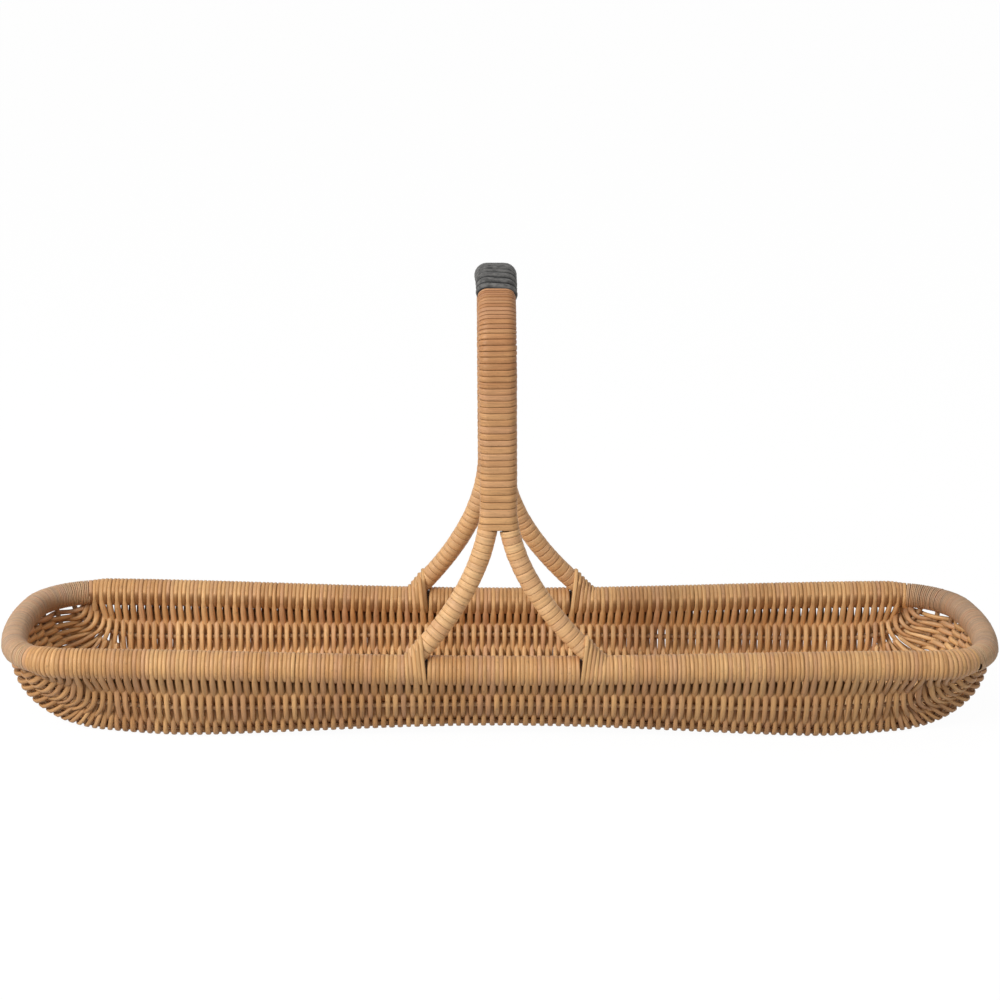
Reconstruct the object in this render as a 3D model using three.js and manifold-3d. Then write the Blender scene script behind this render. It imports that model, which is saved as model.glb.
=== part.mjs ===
// A long shallow flower basket. A rod bent into a ring is the rim, eleven ribs run lengthwise
// through a woven tray that hangs from it, and a double rod arches over as the handle.
// Millimetres. +X runs along the basket, +Y to its back, +Z up, origin under the middle of the base.

import * as THREE from "three";
import { mergeVertices } from "three/addons/utils/BufferGeometryUtils.js";
import Module from "manifold-3d";

const wasm = await Module();
wasm.setup();

// Rim
const BASKET_LENGTH = 800;
const RIM_SPACING = 160;
const RIM_CORNER_RADIUS = 36;
const RIM_END_BOW = 16;
const RIM_HEIGHT = 66;
const RIM_SAG = 6.3;
const RIM_WAIST = 2.5;
const RIM_LEVEL_STRETCH = 30;
const RIM_POLE_DIAMETER = 17.5;
const SIDE_WRAP_THICKNESS = 3;
const END_WRAP_THICKNESS = 1.2;
const END_WRAP_BACK_START = 12;
const END_WRAP_FRONT_START = 45;

// Tray
const TRAY_THICKNESS = 9.6;
const BASE_LIFT = 9;
const BASE_LIFT_REACH = 290;
const BASE_FLAT_DEPTH = 0.4;
const END_SLOPE_REACH = 73;
const END_SLOPE_FULLNESS = 0.85;
const RIB_COUNT = 11;
const RIB_THICKNESS = 4;
const WALL_RIB_DROP = 29;
const WALL_RIB_INSET = 3;
const CORNER_RIB_INSET = 12;
const RIB_FAN_REACH = 150;
const STRAND_BULGE_START = 0.5;

// Handle
const ROD_DIAMETER = 12.4;
const ROD_SPACING = 13.4;
const ARCH_RADIUS = 62;
const ARCH_SPRING_HEIGHT = 293;
const ARCH_SHIFT = -5;
const ARCH_LEAN = -2.5;
const SPLAY_START_HEIGHT = 191;
const FOOT_HEIGHT = 77;
const FOOT_SPREAD = 57;
const SPLAY_POWER = 1.93;
const CROTCH_HEIGHT = 169;
const LASHING_START = 59;
const LASHING_END = 84;
const LASHING_THICKNESS = 3;
const LASHING_COLLAR_LENGTH = 12;

// Windings
const CANE_THICKNESS = 1.2;
const CANE_EDGE_GAP = 0.6;
const WINDING_GAP = 0.4;
const LEG_TURNS = 18;
const BAND_TURNS = 15;
const LEATHER_THICKNESS = 1.8;
const LEATHER_ARC = 58.8;
const LEATHER_TURNS = 7;

// Brads
const BRAD_DIAMETER = 1.8;
const BRAD_HEAD_DIAMETER = 3.6;
const BRAD_HEAD_THICKNESS = 0.8;
const FOOT_BRAD_GRIP = 12;
const SCARF_LENGTH = 90;
const SCARF_BRAD_SPACING = 30;

// Fits and faceting
const SEAT_GAP = 0.3;
const RIM_SIDES = 10;
const ROD_SIDES = 8;
const BRAD_SIDES = 8;
const TURN_STEPS = 8;
const TRAY_STEPS = 8;
const STEP_CROWDING = 1.9;
const SIDE_SPANS = 3;
const WRAP_START_SPANS = 2;
const CORNER_SPANS = 3;
const END_SPANS = 2;
const FLAT_SPANS = 14;
const SLOPE_SPANS = 12;
const LEG_SPANS = 9;
const UPRIGHT_SPANS = 4;
const ARCH_SPANS = 18;

// Worked out from the sizes above
const poleRadius = RIM_POLE_DIAMETER / 2;
const endWrapRadius = poleRadius + SEAT_GAP + END_WRAP_THICKNESS;
const sideWrapRadius = poleRadius + SEAT_GAP + SIDE_WRAP_THICKNESS;
const rimEndX = BASKET_LENGTH / 2 - endWrapRadius;
const rimSideY = RIM_SPACING / 2;
const cornerX = rimEndX - RIM_END_BOW - RIM_CORNER_RADIUS;
const cornerY = rimSideY - RIM_CORNER_RADIUS;
const rodRadius = ROD_DIAMETER / 2;
const rodX = ROD_SPACING / 2;
const lineCount = RIB_COUNT + 2;
const baseMiddleZ = TRAY_THICKNESS / 2 - BASE_FLAT_DEPTH;

const vec = (x, y, z) => new THREE.Vector3(x, y, z);
const radians = THREE.MathUtils.degToRad;

// Lofts: a section's points are given at each station, in the same order, and its loops and caps
// are lists of indices into them. The outer loop runs anticlockwise seen against the travel, and a
// hole runs the other way. Its faces are split along the same diagonals as what fills it.
function loft(stations, loops, caps, closed = false) {
  const size = stations[0].length;
  const positions = stations.flat().flatMap((p) => [p.x, p.y, p.z]);
  const index = [];
  const spans = closed ? stations.length : stations.length - 1;
  for (let s = 0; s < spans; s++) {
    const here = s * size;
    const there = ((s + 1) % stations.length) * size;
    loops.forEach((loop, hole) => {
      loop.forEach((a, i) => {
        const b = loop[(i + 1) % loop.length];
        if (hole) {
          index.push(here + a, here + b, there + a);
          index.push(here + b, there + b, there + a);
        } else {
          index.push(here + a, here + b, there + b);
          index.push(here + a, there + b, there + a);
        }
      });
    });
  }
  if (!closed) {
    const last = (stations.length - 1) * size;
    for (const [a, b, c] of caps) {
      index.push(c, b, a);
      index.push(last + a, last + b, last + c);
    }
  }
  const geometry = new THREE.BufferGeometry();
  geometry.setAttribute("position", new THREE.Float32BufferAttribute(positions, 3));
  geometry.setIndex(index);
  return geometry;
}

// A flat section's outline and holes become one list of points with its loops and its cap.
function section(outline, holes = []) {
  const loops = [outline, ...holes];
  let next = 0;
  const loopIndices = loops.map((loop) => loop.map(() => next++));
  return {
    points: loops.flat(),
    loops: loopIndices,
    caps: THREE.ShapeUtils.triangulateShape(outline, holes),
  };
}

function circle(radius, sides, turn = 1) {
  return Array.from({ length: sides }, (_, i) => {
    const angle = (turn * i * 2 * Math.PI) / sides;
    return new THREE.Vector2(radius * Math.cos(angle), radius * Math.sin(angle));
  });
}

// A frame is a point with its travel direction and two directions across it, where
// across x up = travel.
function place(frame, p) {
  return frame.point.clone().addScaledVector(frame.across, p.x).addScaledVector(frame.up, p.y);
}

function sweep(frames, flat, closed = false) {
  const stations = frames.map((frame) => flat.points.map((p) => place(frame, p)));
  return loft(stations, flat.loops, flat.caps, closed);
}

// Booleans
function solidOf(geometry) {
  const bare = new THREE.BufferGeometry();
  bare.setAttribute("position", geometry.getAttribute("position"));
  bare.setIndex(geometry.getIndex());
  const merged = mergeVertices(bare, 1e-4);
  return new wasm.Manifold(
    new wasm.Mesh({
      numProp: 3,
      vertProperties: merged.attributes.position.array,
      triVerts: new Uint32Array(merged.index.array),
    }),
  );
}

function geometryOf(solid) {
  const mesh = solid.getMesh();
  const geometry = new THREE.BufferGeometry();
  geometry.setAttribute("position", new THREE.Float32BufferAttribute(mesh.vertProperties, 3));
  geometry.setIndex(Array.from(mesh.triVerts));
  return geometry;
}

function block(low, high) {
  const size = high.clone().sub(low);
  const middle = low.clone().add(high).multiplyScalar(0.5);
  const geometry = new THREE.BoxGeometry(size.x, size.y, size.z);
  geometry.translate(middle.x, middle.y, middle.z);
  return solidOf(geometry);
}

// Polylines: a point or a frame at a distance along them
function lengthsAlong(points) {
  const lengths = [0];
  for (let i = 1; i < points.length; i++) {
    lengths.push(lengths[i - 1] + points[i].distanceTo(points[i - 1]));
  }
  return lengths;
}

function spanAt(lengths, distance) {
  let i = 0;
  while (i < lengths.length - 2 && lengths[i + 1] < distance) i++;
  return { i, share: (distance - lengths[i]) / (lengths[i + 1] - lengths[i]) };
}

function pointAlong(points, lengths, distance) {
  const { i, share } = spanAt(lengths, distance);
  return points[i].clone().lerp(points[i + 1], share);
}

function frameAlong(frames, lengths, distance) {
  const { i, share } = spanAt(lengths, distance);
  const a = frames[i];
  const b = frames[i + 1];
  const travel = a.travel.clone().lerp(b.travel, share).normalize();
  const side = a.across.clone().lerp(b.across, share);
  const up = travel.clone().cross(side).normalize();
  return {
    point: a.point.clone().lerp(b.point, share),
    travel,
    across: up.clone().cross(travel),
    up,
  };
}

// Rim centreline. The quarter from the middle of a side to the middle of an end is laid out once.
function rimDip(x) {
  const reach = rimEndX - RIM_LEVEL_STRETCH;
  return Math.cos((Math.PI / 2) * Math.min(1, Math.abs(x) / reach)) ** 2;
}

function rimPoint(x, y) {
  const bowed = x > cornerX ? x + RIM_END_BOW * (1 - (y / rimSideY) ** 2) : x;
  const dip = rimDip(bowed);
  return vec(bowed, y * (1 - (RIM_WAIST / rimSideY) * dip), RIM_HEIGHT - RIM_SAG * dip);
}

function evenly(from, to, spans) {
  return Array.from({ length: spans }, (_, i) => from + ((to - from) * (i + 1)) / spans);
}

const sidePlaces = [0, LASHING_START, LASHING_END, ...evenly(LASHING_END, cornerX, SIDE_SPANS)];
const cornerAngles = [
  END_WRAP_BACK_START,
  ...evenly(END_WRAP_BACK_START, END_WRAP_FRONT_START, WRAP_START_SPANS),
  ...evenly(END_WRAP_FRONT_START, 90, CORNER_SPANS),
];
const quarter = sidePlaces.map((x) => [x, rimSideY]);
for (const angle of cornerAngles) {
  const a = radians(angle);
  quarter.push([
    cornerX + RIM_CORNER_RADIUS * Math.sin(a),
    cornerY + RIM_CORNER_RADIUS * Math.cos(a),
  ]);
}
for (const y of evenly(cornerY, 0, END_SPANS)) {
  quarter.push([cornerX + RIM_CORNER_RADIUS, y]);
}
const lashingStartIndex = 1;
const lashingEndIndex = 2;
const wrapIndex = { back: sidePlaces.length, front: sidePlaces.length + WRAP_START_SPANS };
const endIndex = quarter.length - 1;

// The ring runs from the middle of the back side to the right end, the front and the left end.
const quarterPoints = quarter.map(([x, y]) => rimPoint(x, y));
const mirrored = (points, sx, sy) => points.map((p) => vec(p.x * sx, p.y * sy, p.z));
const reversed = (points) => [...points].reverse();
const rimPoints = [
  ...quarterPoints.slice(0, endIndex),
  ...reversed(mirrored(quarterPoints, 1, -1)).slice(0, endIndex),
  ...mirrored(quarterPoints, -1, -1).slice(0, endIndex),
  ...reversed(mirrored(quarterPoints, -1, 1)).slice(0, endIndex),
];
const ringSize = rimPoints.length;
const ringAt = (i) => (i + ringSize) % ringSize;

const rimFrames = rimPoints.map((point, i) => {
  const before = point.clone().sub(rimPoints[ringAt(i - 1)]).normalize();
  const after = rimPoints[ringAt(i + 1)].clone().sub(point).normalize();
  const travel = before.add(after).normalize();
  const across = vec(travel.y, -travel.x, 0).negate().normalize();
  return { point, travel, across, up: travel.clone().cross(across).normalize() };
});

// A stretch of the ring between two of its stations, drawn in at each end by half a seat gap.
function rimStretch(first, last, gap = SEAT_GAP) {
  const frames = [];
  for (let i = first; i <= last; i++) frames.push({ ...rimFrames[ringAt(i)] });
  const pull = (from, to) => {
    const step = to.point.clone().sub(from.point).setLength(gap / 2);
    return { ...from, point: from.point.clone().add(step) };
  };
  frames[0] = pull(frames[0], frames[1]);
  const end = frames.length - 1;
  frames[end] = pull(frames[end], frames[end - 1]);
  return frames;
}

function rimSleeve(first, last, innerRadius, outerRadius) {
  const flat = section(circle(outerRadius, RIM_SIDES), [circle(innerRadius, RIM_SIDES, -1)]);
  return sweep(rimStretch(first, last), flat);
}

// Every station of the ring, named from the four quarters: side is front or back, end left or right.
function ringIndex(side, end, k) {
  if (side === "back") return end === "right" ? k : -k;
  return 2 * endIndex + (end === "right" ? -k : k);
}

// What the wraps take up round the pole, with the seat gap added, for the pieces that meet them.
function rimRoom(extra) {
  const frames = rimFrames.map((frame) => ({ ...frame }));
  const stations = frames.map((frame, i) => {
    const k = Math.min(i % (2 * endIndex), 2 * endIndex - (i % (2 * endIndex)));
    const side = i > endIndex && i < 3 * endIndex ? "front" : "back";
    const radius = (k <= wrapIndex[side] ? sideWrapRadius : endWrapRadius) + extra;
    return circle(radius, RIM_SIDES).map((p) => place(frame, p));
  });
  const flat = section(circle(1, RIM_SIDES));
  return solidOf(loft(stations, flat.loops, flat.caps, true));
}

const poleRoom = solidOf(sweep(rimFrames, section(circle(poleRadius + SEAT_GAP, RIM_SIDES)), true));

// Tray: its middle surface is drawn by lines that run lengthwise. The first and the last lie along
// the rim's sides and each line between them is a rib.
function baseZ(x) {
  const share = Math.cos((Math.PI / 2) * Math.min(1, Math.abs(x) / BASE_LIFT_REACH)) ** 2;
  return baseMiddleZ + BASE_LIFT * share;
}

const middleLine = (lineCount - 1) / 2;
const cornerRibY = rimSideY - CORNER_RIB_INSET;
const baseRibStep = (2 * cornerRibY) / (RIB_COUNT - 3);
const wallDropShare = WALL_RIB_DROP / (RIM_HEIGHT - RIM_SAG - baseMiddleZ - BASE_LIFT);

function lineLayout(j) {
  const side = Math.sign(j - middleLine);
  const fromEdge = Math.min(j, lineCount - 1 - j);
  if (fromEdge === 0) return { y: side * rimSideY, dropShare: 0 };
  if (fromEdge === 1) return { y: side * (rimSideY - WALL_RIB_INSET), dropShare: wallDropShare };
  return { y: (j - middleLine) * baseRibStep, dropShare: 1 };
}

// The ribs' ends are spread evenly along the wrapped part of the rim's end.
const endPoints = [];
for (let i = 2 * endIndex - wrapIndex.front; i >= wrapIndex.back; i--) {
  endPoints.push(rimPoints[i]);
}
const endLengths = lengthsAlong(endPoints);
const endArc = endLengths[endLengths.length - 1];

function halfLine(j) {
  const { y, dropShare } = lineLayout(j);
  if (dropShare === 0) {
    const last = y < 0 ? wrapIndex.front : wrapIndex.back;
    return mirrored(quarterPoints.slice(0, last + 1), 1, Math.sign(y));
  }
  const landing = pointAlong(endPoints, endLengths, (endArc * j) / (lineCount - 1));
  const slopeX = landing.x - END_SLOPE_REACH;
  const places = [];
  for (let i = 0; i < FLAT_SPANS; i++) places.push({ x: (slopeX * i) / FLAT_SPANS, rise: 1 });
  for (let i = 0; i <= SLOPE_SPANS; i++) {
    const a = (Math.PI / 2) * (1 - i / SLOPE_SPANS);
    const x = landing.x - END_SLOPE_REACH * (1 - Math.cos(a));
    places.push({ x, rise: Math.sin(a) ** END_SLOPE_FULLNESS });
  }
  return places.map(({ x, rise }) => {
    const fan = THREE.MathUtils.smoothstep(x, landing.x - RIB_FAN_REACH, landing.x);
    const plan = THREE.MathUtils.lerp(y, landing.y, fan);
    const top = RIM_HEIGHT - RIM_SAG * rimDip(x);
    const waist = 1 - (RIM_WAIST / rimSideY) * rimDip(x);
    return vec(x, plan * waist, top - (top - baseZ(x)) * dropShare * rise);
  });
}

const lines = Array.from({ length: lineCount }, (_, j) => {
  const points = halfLine(j);
  return { points, lengths: lengthsAlong(points) };
});
const lineLength = (j) => lines[j].lengths[lines[j].lengths.length - 1];

// A strand that lies at a share of the half length along the rim bulges outwards across the base.
function linePoint(j, share) {
  const { points, lengths } = lines[j];
  const reach = Math.abs(share);
  const alongRim = THREE.MathUtils.lerp(lineLength(0), lineLength(lineCount - 1), j / (lineCount - 1));
  const bulge = Math.max(0, (reach - STRAND_BULGE_START) / (1 - STRAND_BULGE_START)) ** 2;
  const p = pointAlong(points, lengths, alongRim * reach + (lineLength(j) - alongRim) * bulge);
  return vec(share < 0 ? -p.x : p.x, p.y, p.z);
}

const shares = [];
for (let i = -TRAY_STEPS; i <= TRAY_STEPS; i++) {
  shares.push(Math.sign(i) * (1 - (1 - Math.abs(i) / TRAY_STEPS) ** STEP_CROWDING));
}
const grid = shares.map((share) => lines.map((_, j) => linePoint(j, share)));

// The tray's frame on line j at station s: across runs to the back, up into the tray.
function trayFrame(s, j) {
  const point = grid[s][j];
  const behind = grid[Math.max(0, s - 1)][j];
  const ahead = grid[Math.min(shares.length - 1, s + 1)][j];
  const travel = ahead.clone().sub(behind).normalize();
  const left = grid[s][Math.max(0, j - 1)];
  const right = grid[s][Math.min(lineCount - 1, j + 1)];
  const before = point.clone().sub(left);
  const after = right.clone().sub(point);
  if (before.lengthSq() > 0) before.normalize();
  if (after.lengthSq() > 0) after.normalize();
  const side = before.add(after);
  const up = travel.clone().cross(side).normalize();
  return { point, travel, across: up.clone().cross(travel).normalize(), up };
}

const trayFrames = shares.map((_, s) => lines.map((_, j) => trayFrame(s, j)));

function squareAt(half, turn = 1) {
  const corners = [
    [-half, -half],
    [half, -half],
    [half, half],
    [-half, half],
  ].map(([x, y]) => new THREE.Vector2(x, y));
  return turn > 0 ? corners : corners.reverse();
}

const ribLines = Array.from({ length: RIB_COUNT }, (_, i) => i + 1);
const tunnelHalf = RIB_THICKNESS / 2 + SEAT_GAP;

function trayStation(s) {
  const frames = trayFrames[s];
  const half = TRAY_THICKNESS / 2;
  const outside = frames.map((frame) => place(frame, new THREE.Vector2(0, -half)));
  const inside = frames.map((frame) => place(frame, new THREE.Vector2(0, half))).reverse();
  const tunnels = ribLines.map((j) => squareAt(tunnelHalf, -1).map((p) => place(frames[j], p)));
  return [...outside, ...inside, ...tunnels.flat()];
}

// The tray's section is laid out along an arc, so that no three of its points are in line.
function layOut(j, p) {
  const pitch = 4 * TRAY_THICKNESS;
  const radius = pitch * lineCount + p.y;
  const angle = (j * pitch + p.x) / (pitch * lineCount);
  return new THREE.Vector2(-radius * Math.cos(angle), radius * Math.sin(angle));
}

function trayGeometry() {
  const half = TRAY_THICKNESS / 2;
  const outline = [
    ...lines.map((_, j) => layOut(j, new THREE.Vector2(0, -half))),
    ...reversed(lines.map((_, j) => layOut(j, new THREE.Vector2(0, half)))),
  ];
  const holes = ribLines.map((j) => squareAt(tunnelHalf, -1).map((p) => layOut(j, p)));
  const flat = section(outline, holes);
  const stations = shares.map((_, s) => trayStation(s));
  const reach = BASKET_LENGTH;
  const below = block(vec(-reach, -reach, -reach), vec(reach, reach, 0));
  const whole = solidOf(loft(stations, flat.loops, flat.caps));
  return geometryOf(whole.subtract(rimRoom(SEAT_GAP)).subtract(below));
}

function ribGeometry(j) {
  const flat = section(squareAt(RIB_THICKNESS / 2));
  const frames = shares.map((_, s) => trayFrames[s][j]);
  return geometryOf(solidOf(sweep(frames, flat)).subtract(rimRoom(SEAT_GAP)));
}

// Handle rods: each leg leans in and splays along the rim, and the top is a half circle. The arch
// stands a little to the left of the middle between its feet, and leans on to the left above.
const splayHeight = SPLAY_START_HEIGHT - FOOT_HEIGHT;
const archTop = ARCH_SPRING_HEIGHT + ARCH_RADIUS;

function splayShare(z) {
  return z < SPLAY_START_HEIGHT ? ((SPLAY_START_HEIGHT - z) / splayHeight) ** SPLAY_POWER : 0;
}

function archShift(z) {
  const lean = Math.max(0, (z - SPLAY_START_HEIGHT) / (archTop - SPLAY_START_HEIGHT));
  return ARCH_SHIFT * (1 - splayShare(z)) + ARCH_LEAN * lean;
}

const footPoint = rimPoint(rodX + FOOT_SPREAD, rimSideY);

function legPoint(z, sx) {
  const share = (ARCH_SPRING_HEIGHT - z) / (ARCH_SPRING_HEIGHT - FOOT_HEIGHT);
  return vec(
    sx * (rodX + FOOT_SPREAD * splayShare(z)) + archShift(z),
    ARCH_RADIUS + (footPoint.y - ARCH_RADIUS) * share ** 2,
    z,
  );
}

function halfRod(sx) {
  const points = [];
  const foot = legPoint(FOOT_HEIGHT, sx);
  const lean = legPoint(FOOT_HEIGHT + 1, sx).sub(foot);
  const end = foot.clone().addScaledVector(lean, footPoint.z - FOOT_HEIGHT);
  points.push(vec(end.x, footPoint.y, end.z));
  for (const z of [
    FOOT_HEIGHT,
    ...evenly(FOOT_HEIGHT, SPLAY_START_HEIGHT, LEG_SPANS),
    ...evenly(SPLAY_START_HEIGHT, ARCH_SPRING_HEIGHT, UPRIGHT_SPANS),
  ]) {
    points.push(legPoint(z, sx));
  }
  for (let i = 1; i <= ARCH_SPANS / 2; i++) {
    const a = (Math.PI * i) / ARCH_SPANS;
    const y = ARCH_RADIUS * Math.cos(a);
    const z = ARCH_SPRING_HEIGHT + ARCH_RADIUS * Math.sin(a);
    points.push(vec(sx * rodX + archShift(z), y, z));
  }
  return points;
}

function framesOf(points, sideways) {
  return points.map((point, i) => {
    const before = i > 0 ? point.clone().sub(points[i - 1]).normalize() : vec(0, 0, 0);
    const after =
      i < points.length - 1 ? points[i + 1].clone().sub(point).normalize() : vec(0, 0, 0);
    const travel = before.add(after).normalize();
    const up = travel.clone().cross(sideways).normalize();
    return { point, travel, across: up.clone().cross(travel).normalize(), up };
  });
}

// A path runs from its front foot over the top to its back foot.
function pathOf(points) {
  const lengths = lengthsAlong(points);
  return {
    points,
    lengths,
    length: lengths[lengths.length - 1],
    frames: framesOf(points, vec(1, 0, 0)),
  };
}

const wholeRod = (half) => pathOf([...mirrored(half, 1, -1), ...reversed(half).slice(1)]);
const rods = { left: wholeRod(halfRod(-1)), right: wholeRod(halfRod(1)) };
const bandPath = pathOf(
  rods.left.points.map((p, i) => p.clone().add(rods.right.points[i]).multiplyScalar(0.5)),
);
const bandSpreads = rods.left.points.map((p, i) => (rods.right.points[i].x - p.x) / 2);

const frameOn = (path, distance) => frameAlong(path.frames, path.lengths, distance);

function distanceAtHeight(path, z) {
  let i = 0;
  while (path.points[i + 1].z < z) i++;
  const share = (z - path.points[i].z) / (path.points[i + 1].z - path.points[i].z);
  return THREE.MathUtils.lerp(path.lengths[i], path.lengths[i + 1], share);
}

// Brads: a foot's goes straight down through it into the pole, a scarf's goes in from the front.
const footBradX = rodX + FOOT_SPREAD + ROD_DIAMETER / 4;

function bradGeometry(shankLength) {
  const shank = BRAD_DIAMETER / 2;
  const head = BRAD_HEAD_DIAMETER / 2;
  return new THREE.LatheGeometry(
    [
      new THREE.Vector2(0, -shankLength),
      new THREE.Vector2(shank, -shankLength + BRAD_DIAMETER),
      new THREE.Vector2(shank, 0),
      new THREE.Vector2(head, 0),
      new THREE.Vector2(head, BRAD_HEAD_THICKNESS),
      new THREE.Vector2(0, BRAD_HEAD_THICKNESS),
    ],
    BRAD_SIDES,
  );
}

// A brad's room: its shank's hole with the seat gap, and a wider hole above for the head.
function bradRoom(shankLength, above) {
  const shank = BRAD_DIAMETER / 2 + SEAT_GAP;
  const head = BRAD_HEAD_DIAMETER / 2 + SEAT_GAP;
  return new THREE.LatheGeometry(
    [
      new THREE.Vector2(0, -shankLength - SEAT_GAP),
      new THREE.Vector2(shank, -shankLength - SEAT_GAP),
      new THREE.Vector2(shank, -SEAT_GAP),
      new THREE.Vector2(head, -SEAT_GAP),
      new THREE.Vector2(head, above),
      new THREE.Vector2(0, above),
    ],
    BRAD_SIDES,
  );
}

const upright = new THREE.Matrix4().makeRotationX(Math.PI / 2);

function standing(geometry, x, y, z) {
  geometry.applyMatrix4(upright);
  geometry.translate(x, y, z);
  return geometry;
}

const footBradShank = FOOT_BRAD_GRIP + rodRadius;
const footBradZ = footPoint.z + poleRadius + rodRadius;
const feet = [];
for (const side of ["front", "back"]) {
  for (const end of ["left", "right"]) {
    feet.push({ side, end, sx: end === "right" ? 1 : -1, sy: side === "back" ? 1 : -1 });
  }
}

function footBrad({ sx, sy }, makeGeometry) {
  return standing(makeGeometry(), sx * footBradX, sy * footPoint.y, footBradZ);
}

const footBradRooms = feet.map((foot) =>
  solidOf(footBrad(foot, () => bradRoom(footBradShank, 2 * ROD_DIAMETER))),
);

function rodGeometry(end) {
  const flat = section(circle(rodRadius, ROD_SIDES));
  let rod = solidOf(sweep(rods[end].frames, flat)).subtract(poleRoom);
  for (const room of footBradRooms) rod = rod.subtract(room);
  return geometryOf(rod);
}

// Rim pole: its scarf joint is a slanting cut through the middle of the back side.
const scarfPoint = rimPoint(0, rimSideY);
const scarfSlope = Math.atan2(RIM_POLE_DIAMETER, SCARF_LENGTH);
const scarfBradPlaces = [-SCARF_BRAD_SPACING / 2, SCARF_BRAD_SPACING / 2];
const scarfBradShank = poleRadius;
const scarfBradZ = scarfPoint.z + poleRadius - BRAD_HEAD_THICKNESS - SEAT_GAP;

function scarfSlab() {
  const slab = new THREE.BoxGeometry(2 * SCARF_LENGTH, 2 * RIM_POLE_DIAMETER, SEAT_GAP);
  slab.rotateY(scarfSlope);
  slab.translate(scarfPoint.x, scarfPoint.y, scarfPoint.z);
  const reach = SCARF_LENGTH / 2 + RIM_POLE_DIAMETER;
  const low = vec(-reach, 0, 0);
  const high = vec(reach, 2 * rimSideY, 2 * RIM_HEIGHT);
  return solidOf(slab).intersect(block(low, high));
}

function scarfBrad(x, makeGeometry) {
  return standing(makeGeometry(), x, scarfPoint.y, scarfBradZ);
}

function poleGeometry() {
  const ring = sweep(rimFrames, section(circle(poleRadius, RIM_SIDES)), true);
  let pole = solidOf(ring).subtract(scarfSlab());
  for (const room of footBradRooms) pole = pole.subtract(room);
  for (const x of scarfBradPlaces) {
    const room = scarfBrad(x, () => bradRoom(scarfBradShank, RIM_POLE_DIAMETER));
    pole = pole.subtract(solidOf(room));
  }
  return geometryOf(pole);
}

// Foot lashings: a sleeve on the rim joined to a collar round the foot that it holds down.
const collarRadius = rodRadius + SEAT_GAP + LASHING_THICKNESS;
const collarTop = (rod) => distanceAtHeight(rod, FOOT_HEIGHT) + LASHING_COLLAR_LENGTH;

function middleStretch(side, gap) {
  const middle = ringIndex(side, "right", 0);
  return rimStretch(middle - lashingStartIndex, middle + lashingStartIndex, gap);
}

const middleFlat = section(circle(sideWrapRadius + SEAT_GAP, RIM_SIDES));
const middleRooms = {
  front: solidOf(sweep(middleStretch("front", 0), middleFlat)),
  back: solidOf(sweep(middleStretch("back", 0), middleFlat)),
};

function lashingGeometry({ side, end, sx }) {
  const rod = rods[end];
  const first = ringIndex(side, end, lashingStartIndex);
  const last = ringIndex(side, end, lashingEndIndex);
  const stretch = rimStretch(Math.min(first, last), Math.max(first, last));
  const sleeve = solidOf(sweep(stretch, section(circle(sideWrapRadius, RIM_SIDES))));
  const places = [0, rod.lengths[1], collarTop(rod)];
  const distances = side === "front" ? places : reversed(places).map((d) => rod.length - d);
  const collarFrames = distances.map((distance) => frameOn(rod, distance));
  const collar = solidOf(sweep(collarFrames, section(circle(collarRadius, ROD_SIDES))));
  const rodRoom = solidOf(sweep(rod.frames, section(circle(rodRadius + SEAT_GAP, ROD_SIDES))));
  const limit = LASHING_END - SEAT_GAP / 2;
  const low = vec(sx > 0 ? 0 : -limit, -RIM_SPACING, 0);
  const high = vec(sx > 0 ? limit : 0, RIM_SPACING, RIM_HEIGHT * 2);
  let lashing = sleeve.add(collar).intersect(block(low, high));
  for (const room of [middleRooms[side], poleRoom, rodRoom]) lashing = lashing.subtract(room);
  return geometryOf(lashing);
}

// Windings: a flat strap is carried round an outline while it climbs along the path. Each station
// holds the strap's four corners, and the climb on each side of the outline follows its length.
function outlineSteps(outline) {
  const edges = outline.map((p, i) => p.distanceTo(outline[(i + 1) % outline.length]));
  const whole = edges.reduce((sum, length) => sum + length, 0);
  let gone = 0;
  return edges.map((length) => {
    const share = gone / whole;
    gone += length;
    return share;
  });
}

// An eight-sided outline whose flats lie at a distance from one rod, or from two side by side. It
// starts with the flat on the handle's outer side.
function windingOutline(distance, halfSpread) {
  const corner = distance * Math.tan(Math.PI / TURN_STEPS);
  const flats = [
    [-halfSpread - corner, -distance],
    [halfSpread + corner, -distance],
    [halfSpread + distance, -corner],
    [halfSpread + distance, corner],
    [halfSpread + corner, distance],
    [-halfSpread - corner, distance],
    [-halfSpread - distance, corner],
    [-halfSpread - distance, -corner],
  ];
  return flats.map(([x, y]) => new THREE.Vector2(x, y));
}

function windingGeometry(name, { path, start, finish, turns, thickness, spreadAt, tightness }) {
  const near = rodRadius + WINDING_GAP;
  const climb = outlineSteps(windingOutline(near, spreadAt((start + finish) / 2)));
  const pitch = (finish - start) / (turns + climb[1] + 1);
  const strapHalf = (pitch * tightness - CANE_EDGE_GAP) / 2;
  const stations = [];
  for (let i = 0; i < turns * TURN_STEPS + 2; i++) {
    const step = i % TURN_STEPS;
    const distance = start + pitch * (Math.floor(i / TURN_STEPS) + climb[step] + 0.5);
    const frame = frameOn(path, distance);
    const corner = (height, along) => {
      const outline = windingOutline(near + height, spreadAt(distance + along));
      return place(frame, outline[step]).addScaledVector(frame.travel, along);
    };
    stations.push([
      corner(thickness, -strapHalf),
      corner(0, -strapHalf),
      corner(0, strapHalf),
      corner(thickness, strapHalf),
    ]);
  }
  console.log(`${name}: least gap between turns ${leastGap(stations).toFixed(2)} mm`);
  const caps = [
    [0, 1, 2],
    [0, 2, 3],
  ];
  return loft(stations, [[0, 1, 2, 3]], caps);
}

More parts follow.
